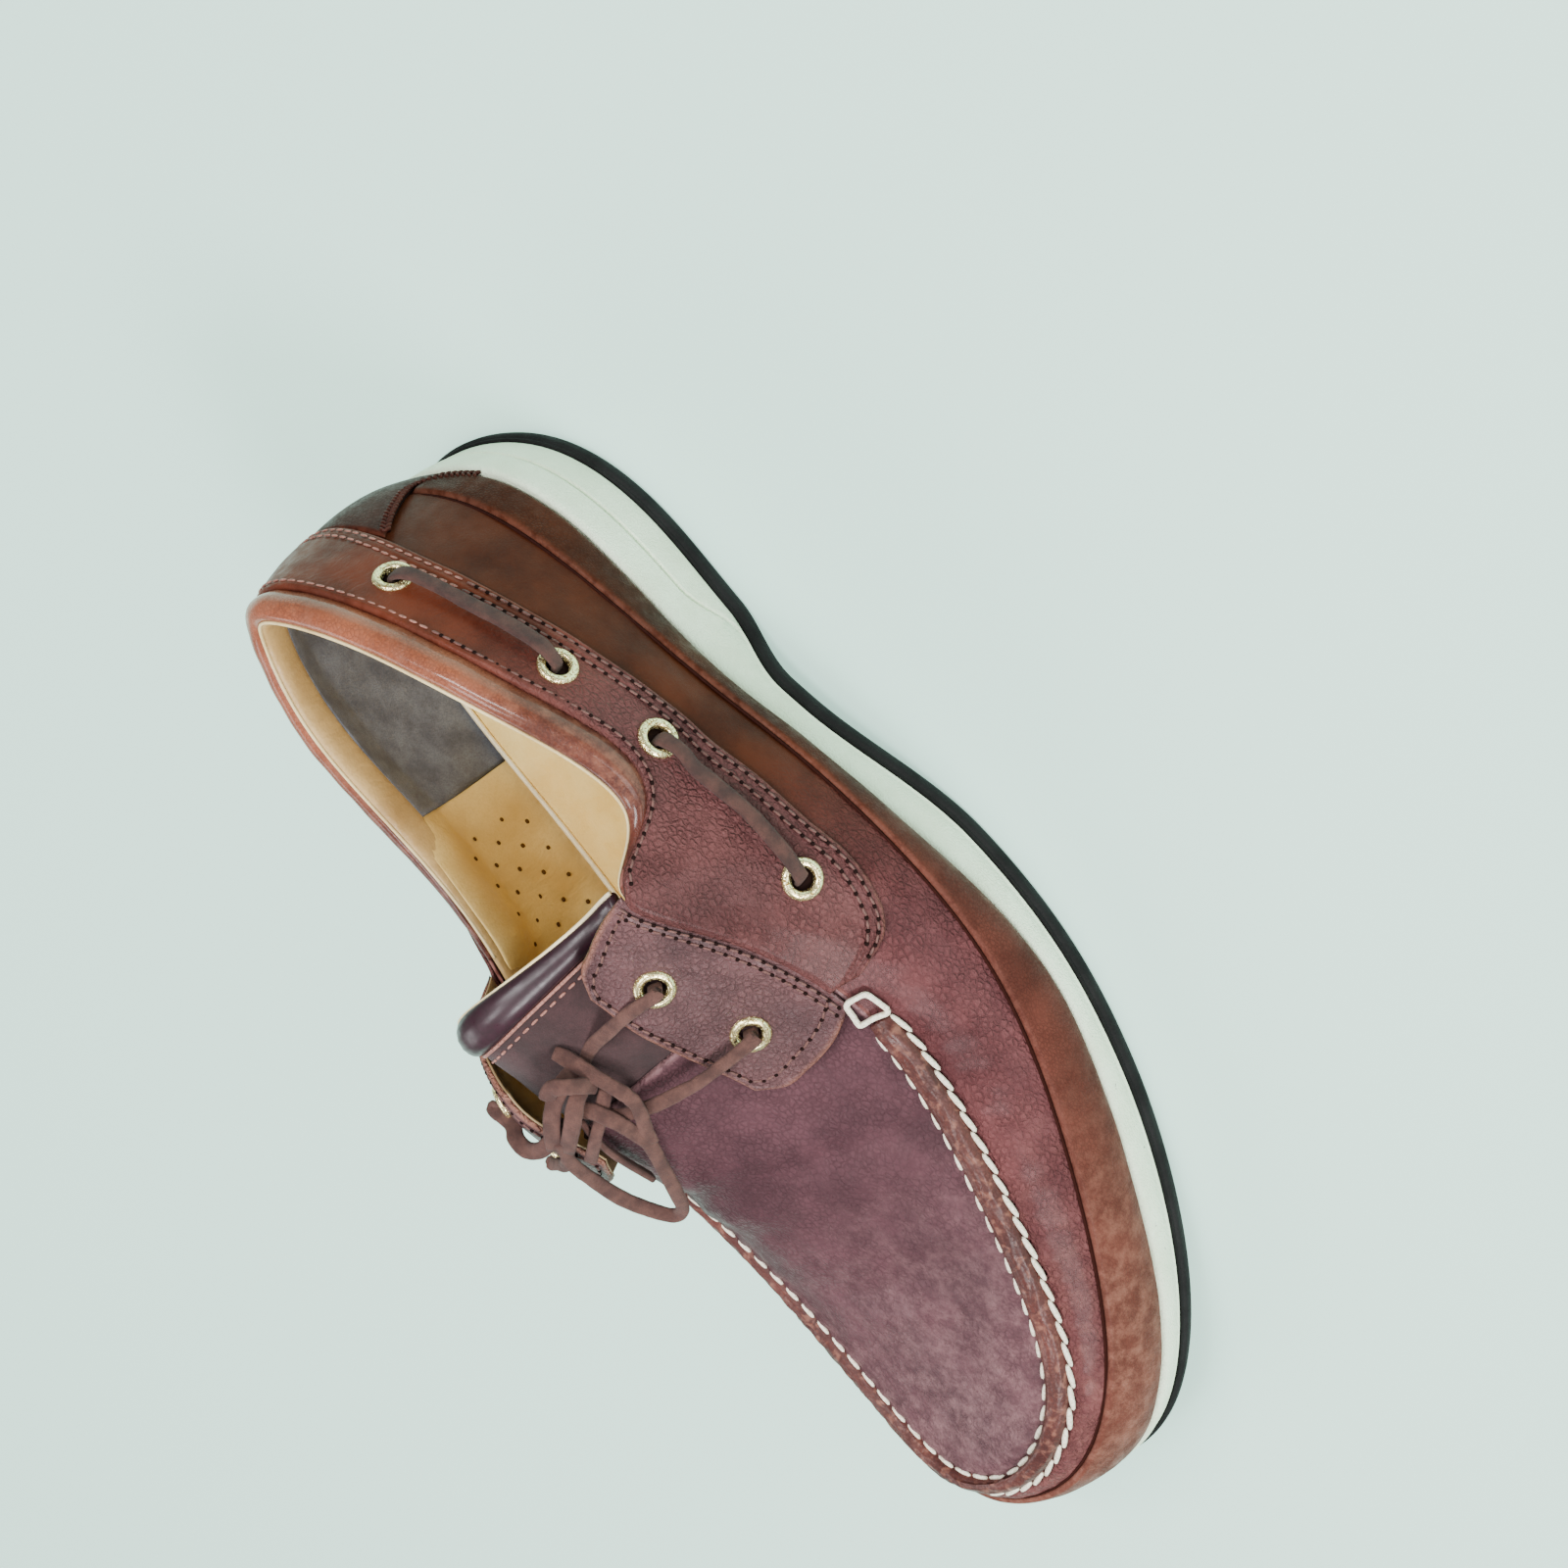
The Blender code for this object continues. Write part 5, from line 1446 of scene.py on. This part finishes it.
def make_pinholes(side, low, high):
    """Rows of air holes through the quarter lining, between two sections, drawn as brown discs of painted
    shade.
    """
    along = np.linspace(low, high, 200)
    line = lining_place(along, lining_share(along, wall_length(along) - 30.0), np.zeros(200))
    reach = along_lengths(line)
    points, normals, ways = [], [], []
    for row in range(HOLE_ROWS):
        shift = HOLE_GAP / 2 if row % 2 else 0.0
        u = np.interp(np.arange(3.0 + shift, reach[-1] - 2.0, HOLE_GAP), reach, along)
        share = lining_share(u, wall_length(u) - HOLES_FROM - HOLE_ROW_GAP * row)
        base = lining_place(u, share, 0.0)
        out = lining_place(u, share, -1.0) - base
        points.append(base + out * 0.68)
        normals.append(unit(out))
        ways.append(unit(lining_place(u + NEAR_U, share, 0.0) - base))
    points, ways, normals = [np.concatenate(rows) for rows in (points, ways, normals)]
    add_beads(f"pinholes_{side}", points, ways, normals, (1.2, 1.2, 0.3), PINHOLE_SHADE, 0.0, 0.1)


make_lining("heel_lining", -LINING_SEAM, LINING_SEAM, 150, HEEL_LINING, 7.5, -0.3)
make_lining("quarter_lining_outer", LINING_SEAM - 0.04, TOE, 120, TAN_LINING)
make_lining("quarter_lining_inner", TOE, ROUND - LINING_SEAM + 0.04, 120, TAN_LINING)
make_footbed()
make_pinholes("outer", LINING_SEAM + 0.2, 5.0)
make_pinholes("inner", ROUND - 5.0, ROUND - LINING_SEAM - 0.2)

# ---------------------------------------------------------------- sole

SOLE_STEPS = 480
SOLE_AROUND = np.linspace(0.0, ROUND, SOLE_STEPS, endpoint=False)


def add_slab(name, rows, finish, replaced):
    """A solid of rings round the shoe, each row its reach past the feather line and its height, with
    rungs from side to side closing top and bottom."""
    feather, out = station(SOLE_AROUND)[:, 0:3], outward(SOLE_AROUND)
    rings = []
    for reach, height in rows:
        ring = feather + out * np.broadcast_to(reach, (SOLE_STEPS,))[:, None]
        ring[:, 2] = height
        rings.append(ring)
    faces = grid_faces(len(rows), SOLE_STEPS, 0, False, True)
    for start in (0, (len(rows) - 1) * SOLE_STEPS):
        for k in range(SOLE_STEPS // 2):
            across = (SOLE_STEPS - k - 1) % SOLE_STEPS, (SOLE_STEPS - k) % SOLE_STEPS
            corners = dict.fromkeys(start + step for step in (k, k + 1, *across))
            if len(corners) > 2:
                faces.append(tuple(corners))
    piece = tidy_mesh(add_object(name, np.concatenate(rings), faces, finish, replaced))
    piece.data.set_sharp_from_angle(angle=math.radians(42))


def make_midsole():
    """The pale midsole, with a groove that runs level round its heel."""
    x, feather = station(SOLE_AROUND)[:, 0], station(SOLE_AROUND)[:, 2]
    heel = 1.0 - smooth_step(x, 26.0, 44.0)
    bottom = ground(x) + OUTSOLE_THICK + 0.3
    deep = np.maximum(feather - 9.6, bottom + 1.5)
    split = bottom + 1.5 + (deep - bottom - 1.5) * heel
    top = feather - 0.3
    rows = [
        (1.6 - 0.8 * heel, bottom),
        (1.9, bottom + 0.3),
        (2.05, bottom + 0.8),
        (2.2, bottom + (split - bottom) * 0.6),
        (2.3, split - 0.9),
        (2.25 - 0.25 * heel, split - 0.55),
        (2.2 - 1.1 * heel, split - 0.2),
        (2.2 - 1.3 * heel, split + 0.1),
        (2.3 - 0.7 * heel, split + 0.4),
        (2.45, split + 0.8),
        (2.55, split + (top - split) * 0.4),
        (2.45, top - 1.6),
        (2.25, top - 0.8),
        (1.9, top - 0.35),
        (1.4, top - 0.05),
        (0.6, top),
    ]
    add_slab("midsole_rubber", rows, MIDSOLE, ("midsole",))


# The outsole's edge from the ground up: reach past the feather line, and height
OUTSOLE_SECTION = (
    (1.5, 0.0), (2.3, 0.15), (2.9, 0.7), (3.2, 1.6), (3.3, 2.6), (3.25, 3.2), (2.9, 3.6), (2.6, 3.9),
    (2.6, OUTSOLE_THICK - 0.1), (2.3, OUTSOLE_THICK),
)


def make_outsole():
    floor = ground(station(SOLE_AROUND)[:, 0])
    rows = [(reach, floor + up) for reach, up in OUTSOLE_SECTION]
    add_slab("outsole_rubber", rows, OUTSOLE, ("outsole",))


make_midsole()
make_outsole()

# ---------------------------------------------------------------- eyelets

# Radius and height off the leather, of the brass ring and of the dark disc that fills its hole as painted
# shade
EYELET_PROFILE = (
    (2.6, -1.6), (2.6, 0.1), (2.72, 0.6), (3.05, 0.95), (3.6, 1.1), (4.2, 0.95), (4.65, 0.55), (4.8, 0.05),
    (4.6, -0.3), (3.6, -0.35), (2.95, -0.5), (2.85, -1.6),
)
EYELET_STEPS = 56
DEPTH_STEPS = 28
EYELET_HOLE_SHADE = ((2.85, -0.9), (0.02, -1.0), (0.02, -1.3), (2.85, -1.3))


def turned_points(profile, steps, matrix):
    """Points of a turned shape that stands on a frame."""
    angle = np.linspace(0.0, 2.0 * math.pi, steps, endpoint=False)
    ring = np.stack([np.cos(angle), np.sin(angle), np.zeros(steps)], 1)
    local = np.array([ring * (r, r, 0.0) + (0.0, 0.0, z) for r, z in profile])
    points = local @ np.array(matrix.to_3x3()).T + np.array(matrix.translation) / MM
    return points.reshape(-1, 3)


def add_eyelet(name, matrix, replaced):
    faces = grid_faces(len(EYELET_PROFILE), EYELET_STEPS, 0, True, True)
    points = turned_points(EYELET_PROFILE, EYELET_STEPS, matrix)
    tidy_mesh(add_object(name, points, faces, BRASS, (replaced,)))


def make_eyelets():
    points, faces = [], []
    for side in SIDES:
        for k, matrix in enumerate(side_eyelet_frames(side)):
            add_eyelet(f"side_eyelet_{side}_{k + 1}", matrix, f"eyelet_side_{side}_{k + 1}")
            faces += grid_faces(len(EYELET_HOLE_SHADE), DEPTH_STEPS, sum(map(len, points)), True, True)
            points.append(turned_points(EYELET_HOLE_SHADE, DEPTH_STEPS, matrix))
        for k, matrix in enumerate(flap_eyelet_frames(side)):
            add_eyelet(f"flap_eyelet_{side}_{k + 1}", matrix, f"eyelet_flap_{side}_{k + 1}")
    # Dark discs in the side eyelets' holes: painted shade.
    add_object("eyelet_hole_shade", np.concatenate(points), faces, DARK)


make_eyelets()

# ---------------------------------------------------------------- stitches

FINE_PITCH = 2.9
FLAP_PITCH = 3.0
FINE_STITCH = (2.2, 0.65, 0.5)
FINE_SLANT = 0.1
ON_TOP = 0.02  # how far a stitch's middle line stands off the leather
# Stretches of the strip's seams: the sections they lie between, their thread, and if holes show
STRETCHES = (
    ("heel", -1.4, 1.4, PINK_THREAD, False),
    ("outer", 1.4, 6.0, BROWN_THREAD, True),
    ("inner", -6.0, -1.4, BROWN_THREAD, True),
)


def make_moc_stitches():
    """Waxed white stitches: a bold row outside the roll, a finer one along the plug's edge."""
    u = np.linspace(*MOC_ENDS, 900)
    stitch_row("moc_stitches_wall", skin_at, u, np.full(900, -4.75), 0.25, STITCH_PITCH, (6.4, 1.45, 1.35),
               WHITE_THREAD, 0.18, 0.05)
    u = np.linspace(MOC_ENDS[0] + 0.05, MOC_ENDS[1] - 0.05, 900)
    stitch_row("moc_stitches_plug", skin_at, u, np.full(900, 2.35), 0.15, STITCH_PITCH, (4.7, 1.4, 1.2),
               WHITE_THREAD, -0.12)


def make_seam_squares():
    """The hand-sewn square at each rear end of the moccasin seam: one soft loop of waxed thread."""
    corners = np.array(((0.03, -5.1), (0.19, -4.2), (0.2, 0.4), (0.05, 2.5), (0.03, -5.1)))
    places = [a + (b - a) * share for a, b in zip(corners, corners[1:]) for share in (0.12, 0.5, 0.88)]
    along, d = np.array(places + places[:1]).T
    for side, u in (("outer", MOC_ENDS[0] - along), ("inner", MOC_ENDS[1] + along)):
        route = skin_at(u, d, 1.5)
        add_strand(f"seam_square_{side}", route, skin_at(u, d, 2.5) - route, WHITE_THREAD, wide=1.25,
                   thick=1.2, seed=88, per_span=6, around=12)


def make_strip_stitches():
    """Two rows along the strip's lower edge and one along its top."""
    u = np.linspace(STRIP_ENDS[0] + 0.12, STRIP_ENDS[1] - 0.1, 700)
    for part, low, high, finish, pricked in STRETCHES:
        for k, up in enumerate((1.9, 4.4)):
            start, end = STRIP_ENDS[0] + 0.12 + 0.07 * k, STRIP_ENDS[1] - 0.08 - 0.09 * k
            keep = u[(u > max(start, low)) & (u < min(end, high))]
            stitch_row(f"strip_stitches_{k + 1}_{part}", wall_at, keep, strip_low(keep) + up,
                       STRIP_FACE + ON_TOP, FINE_PITCH, FINE_STITCH, finish, FINE_SLANT, pricked=pricked)
    u = np.linspace(COLLAR_ENDS[0] - 0.1, COLLAR_ENDS[1] + 0.3, 600)
    for part, low, high, finish, pricked in STRETCHES:
        keep = u[(u > low) & (u < high)]
        stitch_row(f"strip_top_stitches_{part}", strip_at, keep, strip_high(keep) - 1.9, STRIP_FACE + ON_TOP,
                   FINE_PITCH, FINE_STITCH, finish, FINE_SLANT, pricked=pricked)


def make_flap_stitches(side):
    """Two rows along an eyestay flap's seam, and one round its free edge."""
    across, rows = np.linspace(0.03, 0.97, 200), np.linspace(0.05, 0.9, 120)
    paths = [(f"seam_{k + 1}", np.full(200, share), across) for k, share in enumerate((0.045, 0.115))]
    shares = np.concatenate([rows, np.full(100, 0.94), rows[::-1]])
    round_edge = np.concatenate([np.full(120, 0.075), np.linspace(0.09, 0.91, 100), np.full(120, 0.925)])
    for name, a, b in paths + [("edge", shares, round_edge)]:
        stitch_row(f"flap_{side}_{name}", on_flap(side), a, b, EYESTAY_THICK + ON_TOP, FLAP_PITCH,
                   FINE_STITCH, BROWN_THREAD, FINE_SLANT, pricked=True)


def make_braid(side):
    """Whip stitches in a herringbone down a side of the backstay and along its flare."""
    height = np.linspace(0.9, float(strip_low(0.0)) + 0.3, 160)
    line, above = [wall_at(patch_edge(side, height), height, lift) for lift in (1.3, 2.3)]
    above = unit(above - line)
    points, along, normal = stitch_frames(line, above, 1.5)
    across = np.cross(normal, along)
    for k, (shift, slant) in enumerate(((-0.62, 0.85), (0.62, -0.85))):
        add_beads(f"braid_{side}_{k + 1}", points + across * shift + normal * 0.3, along, normal,
                  (2.0, 0.8, 1.1), BRAID, slant, 0.08)
    # A dark strand under the whip stitches: painted shade in the gaps between them.
    add_strand(f"braid_gap_shade_{side}", (line - above * 0.7)[::8], above[::8], DARK, "band_leather", wide=1.8,
               thick=0.8, seed=98, per_span=4, around=10)


make_moc_stitches()
make_seam_squares()
make_strip_stitches()
for each_side in SIDES:
    make_flap_stitches(each_side)
for each_side in SIDES:
    make_braid(each_side)

# ---------------------------------------------------------------- floor and light

FLOOR_REACH = 4.0
# Name, place and target in metres, width and length, and power
LIGHTS = (
    ("window", (0.95, 0.55, 0.95), (0.12, 0.0, 0.0), (0.5, 0.4), 22.0),
    ("ceiling_strip", (-0.35, 0.5, 1.15), (0.08, 0.0, 0.05), (0.8, 0.14), 14.0),
    ("front_low", (0.55, 1.15, 0.6), (0.1, 0.0, 0.05), (0.6, 0.6), 7.0),
    ("overhead", (0.04, 0.06, 1.05), (0.05, 0.0, 0.03), (0.3, 0.3), 5.0),
    ("behind", (0.2, -1.0, 0.9), (0.1, 0.0, 0.05), (0.8, 0.6), 9.0),
)


def make_stage():
    corners = [(x * FLOOR_REACH, y * FLOOR_REACH, 0.0) for x, y in ((-1, -1), (1, -1), (1, 1), (-1, 1))]
    mesh = bpy.data.meshes.new("floor")
    mesh.from_pydata(corners, [], [(0, 1, 2, 3)])
    f = Finish("floor_mint", 0.95)
    mint = f.mix(f.noise(0.002, 2.0), srgb(160, 185, 176), srgb(162, 187, 178))
    mesh.materials.append(f.finish(mint, Emission_Color=(0.61, 1.0, 0.84, 1.0), Emission_Strength=1.0))
    linked("floor", mesh)


def add_light(name, at, aim, size, power):
    lamp = bpy.data.lights.new(name, "AREA")
    lamp.shape = "RECTANGLE"
    lamp.size, lamp.size_y = size
    lamp.energy = power
    turn = (Vector(aim) - Vector(at)).to_track_quat("-Z", "Y").to_matrix().to_4x4()
    linked(name, lamp).matrix_world = Matrix.Translation(Vector(at)) @ turn


def make_world():
    world = bpy.data.worlds.new("studio")
    world.use_nodes = True
    sky = world.node_tree.nodes["Background"].inputs
    sky["Color"].default_value = (0.9, 0.95, 0.94, 1.0)
    sky["Strength"].default_value = 0.35
    bpy.context.scene.world = world


make_stage()
make_world()
for each_light in LIGHTS:
    add_light(*each_light)
